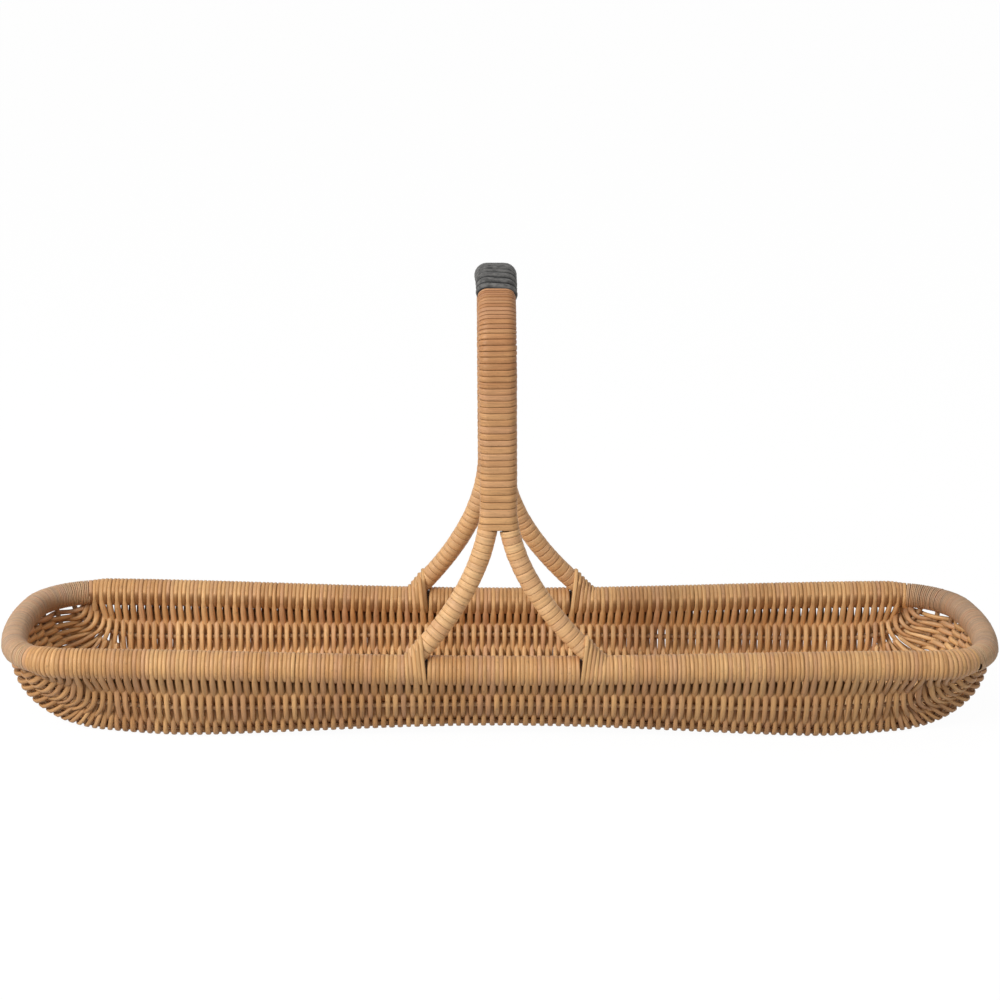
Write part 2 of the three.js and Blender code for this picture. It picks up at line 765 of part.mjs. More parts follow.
// The least distance between points of one turn's edge and the strap's edge a turn later.
function leastGap(stations) {
  let least = Infinity;
  for (let i = 0; i + TURN_STEPS < stations.length; i++) {
    const edge = [stations[i][2], stations[i][3]];
    for (let j = i + TURN_STEPS / 2 + 1; j < Math.min(stations.length, i + 2 * TURN_STEPS); j++) {
      for (const p of edge) {
        for (const q of stations[j]) least = Math.min(least, p.distanceTo(q));
      }
    }
  }
  return least;
}

const leatherHalf = radians(LEATHER_ARC / 2) * ARCH_RADIUS;
const bandStart = distanceAtHeight(bandPath, CROTCH_HEIGHT);
const bandFinish = bandPath.length / 2 - leatherHalf;

// How much of its pitch a winding keeps on the inner side of a bend.
const bendShare = (radius, reach) => (radius - reach) / radius;

function bandWinding(name, start, finish, turns, thickness) {
  const spreadAt = (distance) => {
    const { i, share } = spanAt(bandPath.lengths, distance);
    return THREE.MathUtils.lerp(bandSpreads[i], bandSpreads[i + 1], share);
  };
  return windingGeometry(name, {
    path: bandPath,
    start,
    finish,
    turns,
    thickness,
    spreadAt,
    tightness: bendShare(ARCH_RADIUS, rodRadius + WINDING_GAP + thickness),
  });
}

const legBendRadius = splayHeight ** 2 / (FOOT_SPREAD * SPLAY_POWER * (SPLAY_POWER - 1));

function legWinding(name, { side, end }) {
  const rod = rods[end];
  const low = collarTop(rod);
  const high = distanceAtHeight(rod, CROTCH_HEIGHT);
  const front = side === "front";
  return windingGeometry(name, {
    path: rod,
    start: front ? low : rod.length - high,
    finish: front ? high : rod.length - low,
    turns: LEG_TURNS,
    thickness: CANE_THICKNESS,
    spreadAt: () => 0,
    tightness: bendShare(legBendRadius, rodRadius + WINDING_GAP),
  });
}

// Finishes
const finish = (color, roughness, metalness = 0) =>
  new THREE.MeshStandardMaterial({ color, roughness, metalness });
const wovenCane = finish(0xb98a5a, 0.65);
const rimCane = finish(0xc29362, 0.55);
const endCane = finish(0xb58c66, 0.5);
const handleCane = finish(0xc0905f, 0.5);
const poleWood = finish(0xa98455, 0.7);
const leather = finish(0x3d4043, 0.6);
const bradSteel = finish(0x8c8f92, 0.4, 0.9);

const basket = new THREE.Group();

function add(name, geometry, material) {
  const mesh = new THREE.Mesh(geometry, material);
  mesh.name = name;
  basket.add(mesh);
}

add("rim_pole", poleGeometry(), poleWood);
add("woven_tray", trayGeometry(), wovenCane);
for (const j of ribLines) {
  add(`rib_${String(j).padStart(2, "0")}`, ribGeometry(j), poleWood);
}

const wrapBore = poleRadius + SEAT_GAP;
for (const end of ["left", "right"]) {
  const back = ringIndex("back", end, wrapIndex.back);
  const front = ringIndex("front", end, wrapIndex.front);
  const [first, last] = end === "right" ? [back, front] : [front, back + ringSize];
  add(`rim_end_wrap_${end}`, rimSleeve(first, last, wrapBore, endWrapRadius), endCane);
}
for (const side of ["front", "back"]) {
  const middle = ringIndex(side, "right", 0);
  const [first, last] = [middle - lashingStartIndex, middle + lashingStartIndex];
  add(`rim_side_wrap_${side}_middle`, rimSleeve(first, last, wrapBore, sideWrapRadius), rimCane);
  for (const end of ["left", "right"]) {
    const a = ringIndex(side, end, lashingEndIndex);
    const b = ringIndex(side, end, wrapIndex[side]);
    const sleeve = rimSleeve(Math.min(a, b), Math.max(a, b), wrapBore, sideWrapRadius);
    add(`rim_side_wrap_${side}_${end}`, sleeve, rimCane);
  }
}

for (const end of ["left", "right"]) add(`handle_rod_${end}`, rodGeometry(end), poleWood);
for (const foot of feet) {
  const where = `${foot.side}_${foot.end}`;
  const legName = `leg_wrap_${where}`;
  add(`foot_lashing_${where}`, lashingGeometry(foot), rimCane);
  add(legName, legWinding(legName, foot), handleCane);
  add(`foot_brad_${where}`, footBrad(foot, () => bradGeometry(footBradShank)), bradSteel);
}
const gripEnd = bandPath.length - bandFinish;
for (const [name, start, finish, turns, thickness, material] of [
  ["band_wrap_front", bandStart, bandFinish, BAND_TURNS, CANE_THICKNESS, handleCane],
  ["grip_wrap", bandFinish, gripEnd, LEATHER_TURNS, LEATHER_THICKNESS, leather],
  ["band_wrap_back", gripEnd, bandPath.length - bandStart, BAND_TURNS, CANE_THICKNESS, handleCane],
]) {
  add(name, bandWinding(name, start, finish, turns, thickness), material);
}
scarfBradPlaces.forEach((x, i) => {
  add(`scarf_brad_${i + 1}`, scarfBrad(x, () => bradGeometry(scarfBradShank)), bradSteel);
});

export default basket;
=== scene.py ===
"""A long shallow flower basket: its weavers, ribs, windings and grip, with their finishes, and a
plain stage. Lengths are in metres, +X along the basket, +Y to its back and +Z up."""

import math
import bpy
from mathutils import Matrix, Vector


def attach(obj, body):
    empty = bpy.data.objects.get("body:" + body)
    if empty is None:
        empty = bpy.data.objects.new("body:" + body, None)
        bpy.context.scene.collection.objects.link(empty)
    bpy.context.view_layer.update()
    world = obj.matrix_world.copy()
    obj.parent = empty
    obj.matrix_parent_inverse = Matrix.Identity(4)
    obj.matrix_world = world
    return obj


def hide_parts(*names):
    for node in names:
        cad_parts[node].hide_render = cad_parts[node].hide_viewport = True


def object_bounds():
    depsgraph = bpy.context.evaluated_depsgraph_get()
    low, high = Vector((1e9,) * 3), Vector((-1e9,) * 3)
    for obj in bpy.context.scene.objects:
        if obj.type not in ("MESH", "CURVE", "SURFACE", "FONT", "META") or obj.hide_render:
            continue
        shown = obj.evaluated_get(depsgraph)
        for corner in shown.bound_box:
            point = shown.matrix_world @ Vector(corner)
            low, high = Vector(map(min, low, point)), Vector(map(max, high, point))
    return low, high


bl_info = {
    "name": "Flower Basket",
    "version": (1, 0, 0),
    "blender": (4, 5, 0),
    "location": "3D View > Sidebar > Basket",
    "description": "Weaves a flower basket round its frame and gives every piece its finish",
    "category": "Object",
}

import bmesh
import bpy
import numpy as np
from bpy.props import FloatProperty, FloatVectorProperty, IntProperty, PointerProperty
from mathutils import Matrix

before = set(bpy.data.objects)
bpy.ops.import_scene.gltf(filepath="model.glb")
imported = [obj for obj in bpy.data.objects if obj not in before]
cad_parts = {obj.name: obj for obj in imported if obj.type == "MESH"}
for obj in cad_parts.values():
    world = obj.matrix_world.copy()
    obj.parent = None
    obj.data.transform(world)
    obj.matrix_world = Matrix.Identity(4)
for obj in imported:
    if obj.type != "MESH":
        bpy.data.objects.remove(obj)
frame_bounds = [list(corner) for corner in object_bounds()]
frame_length = frame_bounds[1][0] - frame_bounds[0][0]

SEED = 7
ENDS = (("left", -1), ("right", 1))

# Points along the rim, the ribs and the handle
SIDE_STEPS = 60
CORNER_STEPS = 24
END_STEPS = 16
LEG_STEPS = 60
ARCH_STEPS = 72
RIB_STATIONS = 121


# Sizes and colours
def length(name, description, default):
    return FloatProperty(
        name=name, description=description, default=default, subtype="DISTANCE", unit="LENGTH", precision=5
    )


def angle(name, description, degrees):
    return FloatProperty(
        name=name, description=description, default=math.radians(degrees), subtype="ANGLE", unit="ROTATION"
    )


def factor(name, description, default):
    return FloatProperty(name=name, description=description, default=default, subtype="FACTOR", precision=3)


def ratio(name, description, default):
    return FloatProperty(name=name, description=description, default=default, precision=3)


def count(name, description, default):
    return IntProperty(name=name, description=description, default=default, min=1)


def linear(level):
    """A colour level from 0 to 255 on screen, as the light that it stands for."""
    level /= 255
    return level / 12.92 if level <= 0.04045 else ((level + 0.055) / 1.055) ** 2.4


def colour(name, description, screen):
    return FloatVectorProperty(
        name=name, description=description, default=[linear(v) for v in screen], subtype="COLOR", size=3
    )


class RimSizes(bpy.types.PropertyGroup):
    """The bent pole and the fine cane on its ends"""

    basket_length: length("Basket length", "Length over the wrapped ends", frame_length)
    spacing: length("Rim spacing", "Between the middles of the two long sides", 0.160)
    corner_radius: length("Corner radius", "Bend of the pole at the corners", 0.036)
    end_bow: length("End bow", "How far the ends bow outwards", 0.016)
    height: length("Rim height", "Middle of the pole above the floor at the ends", 0.066)
    sag: length("Sag", "Dip of the rim at the middle", 0.0063)
    waist: length("Waist", "Draw-in of each side at the middle", 0.0025)
    level_stretch: length("Level stretch", "Level part of the rim at each end", 0.030)
    pole_diameter: length("Pole diameter", "The bent pole", 0.0175)
    seat_gap: length("Seat gap", "Between the pole and what is wound on it", 0.0003)
    cane_thickness: length("End cane thickness", "Fine cane wound on the ends", 0.0012)
    cane_pitch: length("End cane pitch", "From turn to turn of the fine cane", 0.00178)
    back_start: angle("Back start", "Where the fine cane starts round the back corners", 12)
    front_start: angle("Front start", "Where the fine cane starts round the front corners", 45)
    notch: length("Notch", "Gap left below between the fine cane and the last weaver in front", 0.005)


class TraySizes(bpy.types.PropertyGroup):
    """The ribs and the weavers"""

    half_thickness: length("Half thickness", "Middle of the weave above the floor at the ends", 0.0040)
    base_lift: length("Base lift", "Rise of the base at the middle", 0.0084)
    base_lift_reach: length("Base lift reach", "Where the base comes down to the floor", 0.290)
    end_slope_reach: length("End slope reach", "Length of the slope up to the end", 0.070)
    end_slope_fullness: factor("End slope fullness", "Roundness of that slope", 0.80)
    rib_count: count("Ribs", "Lengthwise ribs", 11)
    rib_diameter: length("Rib diameter", "One rib", 0.004)
    wall_rib_drop: length("Wall rib drop", "The wall's rib below the rim", 0.029)
    wall_rib_inset: length("Wall rib inset", "The wall's rib inside the rim", 0.003)
    corner_rib_inset: length("Corner rib inset", "The rib at the foot of the wall inside the rim", 0.012)
    rib_fan_reach: length("Rib fan reach", "Length over which the ribs fan out", 0.150)
    weaver_count: count("Weaver passes", "Passes of the weavers across the basket", 210)
    packing_start: factor("Packing start", "Share of each half past which short passes fill the ends", 0.89)
    rim_fill: ratio("Rim fill", "Width of a weaver on the rim over the pitch", 1.10)
    slit_fill: ratio("Slit fill", "The same halfway from the rim to the wall's rib", 1.52)
    crossing_fill: ratio("Crossing fill", "The same halfway down from the wall's rib", 1.18)
    floor_fill: ratio("Floor fill", "The same halfway between the floor's ribs", 1.36)
    wall_crest_fill: ratio("Wall crest fill", "The same over the wall's rib", 1.26)
    corner_fill: ratio("Corner fill", "The same at the foot of the wall", 1.30)
    crest_fill: ratio("Crest fill", "The same over the other ribs", 1.66)
    end_thinning: factor("End thinning", "How much thinner the weavers are at the ends", 0.04)
    taper_reach: length("Taper reach", "Where the weavers thin out towards the fine cane of the ends", 0.016)
    weaver_thickness: length("Weaver thickness", "Thickness of a weaver", 0.0028)
    pressed_thickness: length("Pressed thickness", "The same where it is pressed over a rib", 0.0020)
    wander: length("Wander", "How far a weaver strays to either side", 0.00018)


class HandleSizes(bpy.types.PropertyGroup):
    """The two bent rods and what is wound round them"""

    rod_diameter: length("Rod diameter", "One of the two bent rods", 0.0124)
    rod_spacing: length("Rod spacing", "Between the middles of the two rods", 0.0134)
    arch_radius: length("Arch radius", "Half circle at the top", 0.062)
    spring_height: length("Spring height", "Where the half circle starts", 0.293)
    shift: length("Shift", "How far the arch stands to the right", -0.005)
    lean: length("Lean", "How far its top leans to the right", -0.0025)
    splay_height: length("Splay height", "Where the legs start to part", 0.191)
    foot_height: length("Foot height", "Where the legs reach the lashings", 0.077)
    foot_spread: length("Foot spread", "How far each leg parts at its foot", 0.057)
    splay_power: ratio("Splay power", "Curve of the splay", 1.93)
    crotch_height: length("Crotch height", "Where the two rods are wound together", 0.1725)
    lashing_start: length("Lashing start", "Inner edge of the lashings from the middle", 0.059)
    lashing_end: length("Lashing end", "Outer edge of the lashings from the middle", 0.084)
    lashing_lean: length("Lashing lean", "How far the innermost lashing leans at its top", 0.0045)
    winding_gap: length("Winding gap", "Between the rods and the cane", 0.0004)
    cane_thickness: length("Cane thickness", "Flat cane on the rods", 0.0012)
    cane_groove: length("Cane groove", "Between two turns of the flat cane", 0.00012)
    leg_start: length("Leg start", "Where the cane on a leg starts, past its foot", -0.008)
    leg_turns: count("Leg turns", "Turns of cane on a leg", 21)
    band_turns: count("Band turns", "Turns of cane on each side of the grip", 43)
    leather_thickness: length("Leather thickness", "The strap of the grip", 0.0022)
    leather_arc: angle("Leather arc", "How much of the arch the grip covers", 58.8)
    leather_turns: count("Leather turns", "Turns of the strap", 10)
    lashing_seat: length("Lashing seat", "How far the lashings cover the cane on the legs", 0.012)


class FinishColours(bpy.types.PropertyGroup):
    """Colours of the canes, woods, leather, steel and floor"""

    weaver_light: colour("Weaver light", "Sunlit strands of the tray", (228, 180, 122))
    weaver_dark: colour("Weaver dark", "Browner strands of the tray", (204, 152, 97))
    weaver_blush: colour("Weaver blush", "Pinkish strands", (204, 154, 117))
    end_light: colour("End cane light", "Fine cane at the ends", (206, 169, 126))
    end_dark: colour("End cane dark", "Greyer turns of the fine cane", (178, 147, 121))
    handle_light: colour("Handle cane light", "Outer skin of the flat cane", (238, 192, 138))
    handle_dark: colour("Handle cane dark", "Browner turns of the flat cane", (220, 168, 114))
    band_light: colour("Band cane light", "Flat cane round both rods", (222, 172, 116))
    band_dark: colour("Band cane dark", "Browner turns of it", (164, 106, 64))
    # The pole shows only in gaps between the canes, so its colours are darker than its wood: painted shade
    pole_light: colour("Pole light", "Wood of the rim pole, darkened as painted shade", (92, 62, 38))
    pole_dark: colour("Pole dark", "Grain of that wood", (58, 36, 20))
    rib_light: colour("Rib light", "Peeled wood of the ribs and the handle's rods", (196, 156, 112))
    rib_dark: colour("Rib dark", "Grain of that wood", (140, 100, 66))
    leather: colour("Leather", "Strap of the grip", (34, 34, 34))
    # Pale crests of the strap: partly rubbed wear and partly painted highlight
    leather_worn_and_highlit: colour("Worn leather", "Rubbed crests of the strap", (124, 122, 119))
    steel: colour("Steel", "Brads", (150, 150, 148))
    floor: colour("Floor", "Plain floor of the stage", (214, 214, 212))


class BasketSettings(bpy.types.PropertyGroup):
    """All sizes and colours of the basket"""

    rim: PointerProperty(type=RimSizes)
    tray: PointerProperty(type=TraySizes)
    handle: PointerProperty(type=HandleSizes)
    finish: PointerProperty(type=FinishColours)


# Vectors and lines
def unit(vectors):
    """The same directions with a length of 1."""
    return vectors / np.linalg.norm(vectors, axis=-1, keepdims=True)


def across_to(vectors, directions):
    """What is left of vectors square to directions, as unit vectors."""
    return unit(vectors - directions * np.sum(vectors * directions, axis=-1, keepdims=True))


def smoothstep(x, low, high):
    """0 up to low, 1 from high on, and a smooth rise between them."""
    t = np.clip((x - low) / (high - low), 0, 1)
    return t * t * (3 - 2 * t)


class Line:
    """A line through points, read at distances along it."""

    travel_reach = 0.002

    def __init__(self, points):
        self.points = np.asarray(points, float)
        steps = np.linalg.norm(np.diff(self.points, axis=0), axis=1)
        self.marks = np.concatenate([[0.0], np.cumsum(steps)])
        self.length = self.marks[-1]

    def at(self, distance):
        axes = [np.interp(distance, self.marks, self.points[:, i]) for i in range(3)]
        return np.stack(axes, axis=-1)

    def travel(self, distance):
        """The direction of the line, read over a short stretch."""
        return unit(self.at(distance + self.travel_reach) - self.at(distance - self.travel_reach))


class Rim:
    """The pole's centreline: two long sides, round corners and bowed ends."""

    def __init__(self, sizes):
        self.sizes = sizes
        self.pole_radius = sizes.pole_diameter / 2
        self.end_x = sizes.basket_length / 2 - self.pole_radius - sizes.seat_gap - sizes.cane_thickness
        self.side_y = sizes.spacing / 2
        self.corner_x = self.end_x - sizes.end_bow - sizes.corner_radius
        self.corner_y = self.side_y - sizes.corner_radius

    def dip(self, x):
        """1 at the middle of the basket, 0 where the rim is level."""
        reach = self.end_x - self.sizes.level_stretch
        return np.cos(math.pi / 2 * np.minimum(1, np.abs(x) / reach)) ** 2

    def narrowing(self, x):
        """The share of its width that the waist leaves."""
        return 1 - self.sizes.waist / self.side_y * self.dip(x)

    def top(self, x):
        """The height of the pole's middle."""
        return self.sizes.height - self.sizes.sag * self.dip(x)

    def at(self, x, y):
        """A place on the plan with straight sides and ends, brought to the real rim."""
        bow = self.sizes.end_bow * (1 - (y / self.side_y) ** 2)
        x = np.where(x > self.corner_x, x + bow, x)
        return np.stack([x, y * self.narrowing(x), self.top(x)], axis=-1)

    def corner(self, first, last):
        """The plan round the back right corner, between two angles from the side."""
        turn = np.linspace(first, last, CORNER_STEPS)
        radius = self.sizes.corner_radius
        return self.corner_x + radius * np.sin(turn), self.corner_y + radius * np.cos(turn)

    def side(self, sign, last):
        """From the middle of a side to an angle round its right corner."""
        x = np.linspace(0, self.corner_x, SIDE_STEPS, endpoint=False)
        turn_x, turn_y = self.corner(0, last)
        y = np.concatenate([np.full(SIDE_STEPS, self.side_y), turn_y])
        return Line(self.at(np.concatenate([x, turn_x]), sign * y))

    def end(self):
        """Round the right end, from the fine cane's front start to its back start."""
        front_x, front_y = self.corner(self.sizes.front_start, math.pi / 2)
        back_x, back_y = self.corner(math.pi / 2, self.sizes.back_start)
        y = np.linspace(-self.corner_y, self.corner_y, END_STEPS)[1:-1]
        x = np.full(len(y), self.corner_x + self.sizes.corner_radius)
        return Line(self.at(np.concatenate([front_x, x, back_x]), np.concatenate([-front_y, y, back_y])))


class Handle:
    """The two bent rods, each from its front foot over the top to its back foot."""

    def __init__(self, sizes, rim):
        self.sizes = sizes
        self.rod_radius = sizes.rod_diameter / 2
        self.foot = rim.at(np.array(sizes.rod_spacing / 2 + sizes.foot_spread), np.array(rim.side_y))
        self.legs = {sign: self.leg(sign) for sign in (-1, 1)}

    def splay(self, z):
        """1 at the feet, 0 from where the legs run side by side."""
        s = self.sizes
        return np.maximum(0, (s.splay_height - z) / (s.splay_height - s.foot_height)) ** s.splay_power

    def drift(self, z):
        """How far the middle between the rods stands to the right."""
        s = self.sizes
        top = s.spring_height + s.arch_radius
        lean = np.maximum(0, (z - s.splay_height) / (top - s.splay_height))
        return s.shift * (1 - self.splay(z)) + s.lean * lean

    def spread(self, z):
        """From the middle between the rods to a rod."""
        return self.sizes.rod_spacing / 2 + self.sizes.foot_spread * self.splay(z)

    def leg(self, sign):
        """The back leg's points, from its foot up to the top of the arch. A sign of 0 is between the rods."""
        s = self.sizes
        z = np.linspace(s.foot_height, s.spring_height, LEG_STEPS)
        fall = (s.spring_height - z) / (s.spring_height - s.foot_height)
        y = s.arch_radius + (self.foot[1] - s.arch_radius) * fall**2
        points = np.stack([sign * self.spread(z) + self.drift(z), y, z], axis=-1)
        slope = (points[1] - points[0]) / (z[1] - z[0])
        end = points[0] + slope * (self.foot[2] - s.foot_height)
        end[1] = self.foot[1]
        turn = np.linspace(0, math.pi / 2, ARCH_STEPS // 2 + 1)[1:]
        z = s.spring_height + s.arch_radius * np.sin(turn)
        x = sign * self.spread(z) + self.drift(z)
        arch = np.stack([x, s.arch_radius * np.cos(turn), z], axis=-1)
        return np.concatenate([[end], points, arch])

    def path(self, sign):
        """From the front foot over the top to the back foot."""
        half = self.leg(sign)
        return Line(np.concatenate([half * (1, -1, 1), half[-2::-1]]))

    def distance_at(self, path, z):
        """How far along a path its front half reaches a height."""
        half = len(path.points) // 2
        return np.interp(z, path.points[:half, 2], path.marks[:half])

    def rod_over(self, x, sign):
        """Where a back leg passes over a place on the rim: its y and z."""
        points = self.legs[sign][: LEG_STEPS // 2]
        order = np.argsort(sign * points[:, 0])
        along = sign * points[order, 0]
        return [np.interp(sign * x, along, points[order, i]) for i in (1, 2)]


class Tray:
    """The lines that the weave lies on: the two sides of the rim and the ribs between them."""

    def __init__(self, settings):
        self.sizes = settings.tray
        self.rim = Rim(settings.rim)
        self.count = self.sizes.rib_count + 2
        self.end_line = self.rim.end()
        self.lines = [self.line(j) for j in range(self.count)]

    def base(self, x):
        """The height of the middle of the base's weave."""
        s = self.sizes
        lift = np.cos(math.pi / 2 * np.minimum(1, np.abs(x) / s.base_lift_reach)) ** 2
        return s.half_thickness + s.base_lift * lift

    def line(self, j):
        """A side of the rim or a rib, from the middle of the basket to its right end."""
        s, rim = self.sizes, self.rim
        last = self.count - 1
        if j == 0:
            return rim.side(-1, rim.sizes.front_start)
        if j == last:
            return rim.side(1, rim.sizes.back_start)
        if j in (1, last - 1):
            y = math.copysign(rim.side_y - s.wall_rib_inset, j - last / 2)
            drop = s.wall_rib_drop / (rim.top(0) - self.base(0))
        else:
            y = (j - last / 2) * 2 * (rim.side_y - s.corner_rib_inset) / (s.rib_count - 3)
            drop = 1
        landing = self.end_line.at(self.end_line.length * j / last)
        slope_x = landing[0] - s.end_slope_reach
        turn = np.linspace(math.pi / 2, 0, SIDE_STEPS)
        flat = np.linspace(0, slope_x, SIDE_STEPS, endpoint=False)
        x = np.concatenate([flat, landing[0] - s.end_slope_reach * (1 - np.cos(turn))])
        rise = np.concatenate([np.ones(SIDE_STEPS), np.sin(turn) ** s.end_slope_fullness])
        fan = smoothstep(x, landing[0] - s.rib_fan_reach, landing[0])
        y = (y + (landing[1] - y) * fan) * rim.narrowing(x)
        z = rim.top(x) - (rim.top(x) - self.base(x)) * drop * rise
        return Line(np.stack([x, y, z], axis=-1))


# Meshes
class Sweep:
    """A strand as rings of points, one ring a station, with a tone of its own."""

    def __init__(self, rings, tones, shades=1.0):
        self.rings = np.asarray(rings)
        self.shades = np.broadcast_to(shades, self.rings.shape[:2])
        self.tones = np.broadcast_to(tones, self.rings.shape[:1])
        middle = self.rings.mean(axis=1)
        self.length = np.linalg.norm(np.diff(middle, axis=0), axis=1).sum()
        sides = self.rings[0] - np.roll(self.rings[0], 1, axis=0)
        self.girth = np.linalg.norm(sides, axis=1).sum()


SEAM_DISTANCE = 1e-7


def swept_mesh(name, sweeps, random):
    """Each sweep is a grid whose long edges are joined and whose ends are closed."""
    bm = bmesh.new()
    bm.loops.layers.uv.new("UVMap")
    for sweep in sweeps:
        stations, sides = sweep.rings.shape[:2]
        bmesh.ops.create_grid(bm, x_segments=sides, y_segments=stations - 1, size=1, calc_uvs=True)
    mesh = bpy.data.meshes.new(name)
    bm.to_mesh(mesh)
    bm.free()

    closed = [np.concatenate([sweep.rings, sweep.rings[:, :1]], axis=1) for sweep in sweeps]
    mesh.vertices.foreach_set("co", np.concatenate([rings.reshape(-1) for rings in closed]))
    tones = [np.repeat(sweep.tones, sweep.rings.shape[1] + 1) for sweep in sweeps]
    shades = [np.concatenate([sweep.shades, sweep.shades[:, :1]], axis=1).reshape(-1) for sweep in sweeps]
    for label, values in (("tone", tones), ("shade", shades)):
        attribute = mesh.attributes.new(label, "FLOAT", "POINT")
        attribute.data.foreach_set("value", np.concatenate(values).astype(np.float32))

    uv = np.zeros(len(mesh.loops) * 2, np.float32)
    mesh.uv_layers[0].data.foreach_get("uv", uv)
    uv = uv.reshape(-1, 2)
    start = 0
    for sweep in sweeps:
        stations, sides = sweep.rings.shape[:2]
        end = start + 4 * sides * (stations - 1)
        uv[start:end] *= (sweep.girth, sweep.length)
        uv[start:end] += random.random(2)
        start = end
    mesh.uv_layers[0].data.foreach_set("uv", uv.reshape(-1))

    bm = bmesh.new()
    bm.from_mesh(mesh)
    bmesh.ops.remove_doubles(bm, verts=bm.verts, dist=SEAM_DISTANCE)
    bmesh.ops.holes_fill(bm, edges=[edge for edge in bm.edges if edge.is_boundary], sides=0)
    bmesh.ops.recalc_face_normals(bm, faces=bm.faces)
    for face in bm.faces:
        face.smooth = True
    bm.to_mesh(mesh)
    bm.free()
    return mesh


def add_piece(name, mesh, material, nodes):
    """A mesh as a piece of the basket, which stands for some of the frame's nodes."""
    piece = bpy.data.objects.new(name, mesh)
    bpy.context.scene.collection.objects.link(piece)
    mesh.materials.append(material)
    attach(piece, "root")
    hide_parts(*nodes)


# Painted light and shade round a strand, where 1 is its plain colour and 0 is deep painted shade
FLANK_LIGHT = 0.85
GAIN_ON_TOP = 0.15
LOSS_BENEATH = 0.75
LOSS_AT_EDGES = 0.42
INSIDE_LIGHT = 1.65
INSIDE_SHARE = 0.7
LOSS_OUTSIDE = 0.2
LOSS_DOWNWARDS = 0.62
BRIGHTEST = 1.8

# A strand's section and its ends
OVAL_SIDES = 8
SQUARENESS = 0.92
SQUARE_SCALE = 1.03
END_SIZE = 0.45
STEEPEST_SLANT = 0.8


def oval():
    """A strand's section, a little squarer than an ellipse."""
    turn = np.linspace(0, 2 * math.pi, OVAL_SIDES, endpoint=False) + math.pi / OVAL_SIDES
    circle = np.stack([np.cos(turn), np.sin(turn)], axis=-1)
    return np.sign(circle) * np.abs(circle) ** SQUARENESS * SQUARE_SCALE


def strand_sweep(points, widthways, half_width, half_thickness, tone, cover=None):
    """A strand round its middle line, kept flat to widthways, with painted shade where others cover it."""
    travel = unit(np.gradient(points, axis=0))
    wide = across_to(widthways, travel)
    thick = np.cross(travel, wide)
    slope = np.sum(unit(widthways) * travel, axis=-1)
    slant = np.sqrt(1 - np.minimum(STEEPEST_SLANT, slope**2))
    ease = np.ones(len(points))
    ease[[0, -1]] = END_SIZE
    section = oval()
    width = (half_width * ease * slant)[:, None, None] * section[None, :, :1] * wide[:, None]
    thickness = (half_thickness * ease)[:, None, None] * section[None, :, 1:] * thick[:, None]
    round_it = width + thickness
    rings = points[:, None] + round_it
    rings[..., 2] = np.maximum(rings[..., 2], 0)
    shades = 1.0 if cover is None else strand_shades(thick, section, round_it, *cover)
    return Sweep(rings, tone, shades)


def strand_shades(thick, section, round_it, facing, inward, light, behind):
    """Painted shade where a strand faces a rib or the pole, painted light where it faces into the basket."""
    outer = np.sum(thick * facing, axis=-1)[:, None] * section[None, :, 1]
    shades = FLANK_LIGHT + np.where(outer < 0, LOSS_BENEATH, GAIN_ON_TOP) * outer
    shades *= 1 - LOSS_AT_EDGES * section[None, :, 0] ** 2
    inner = np.sum(thick * inward, axis=-1)[:, None] * section[None, :, 1]
    shades += (INSIDE_LIGHT - shades) * INSIDE_SHARE * np.clip(inner, 0, 1)
    shades *= 1 - behind[:, None] * np.clip(2 * inner, 0, 1)
    shades *= 1 - LOSS_OUTSIDE * np.clip(-inner, 0, 1)
    shades *= 1 - LOSS_DOWNWARDS * np.clip(-unit(round_it)[..., 2], 0, 1)
    return np.clip(shades * light[:, None], 0, BRIGHTEST)


def curve_through(keys, slopes, t):
    """A smooth curve from key to key, which leaves the first and reaches the last along the slopes."""
    steps = np.linalg.norm(np.diff(keys, axis=0), axis=1)[:, None]
    rises = np.diff(keys, axis=0) / steps
    tangents = np.empty_like(keys)
    tangents[1:-1] = unit(rises[:-1] * steps[1:] + rises[1:] * steps[:-1])
    tangents[[0, -1]] = unit(np.array(slopes))
    out = (tangents[:-1] * steps)[:, None]
    into = (tangents[1:] * steps)[:, None]
    points = (
        (2 * t**3 - 3 * t**2 + 1) * keys[:-1, None]
        + (t**3 - 2 * t**2 + t) * out
        + (3 * t**2 - 2 * t**3) * keys[1:, None]
        + (t**3 - t**2) * into
    )
    return points.reshape(-1, 3)[:-1]


def blend(values, share):
    """From each value to the next one, without the last."""
    return (values[:-1, None] * (1 - share) + values[1:, None] * share).reshape(-1, 3)[:-1]


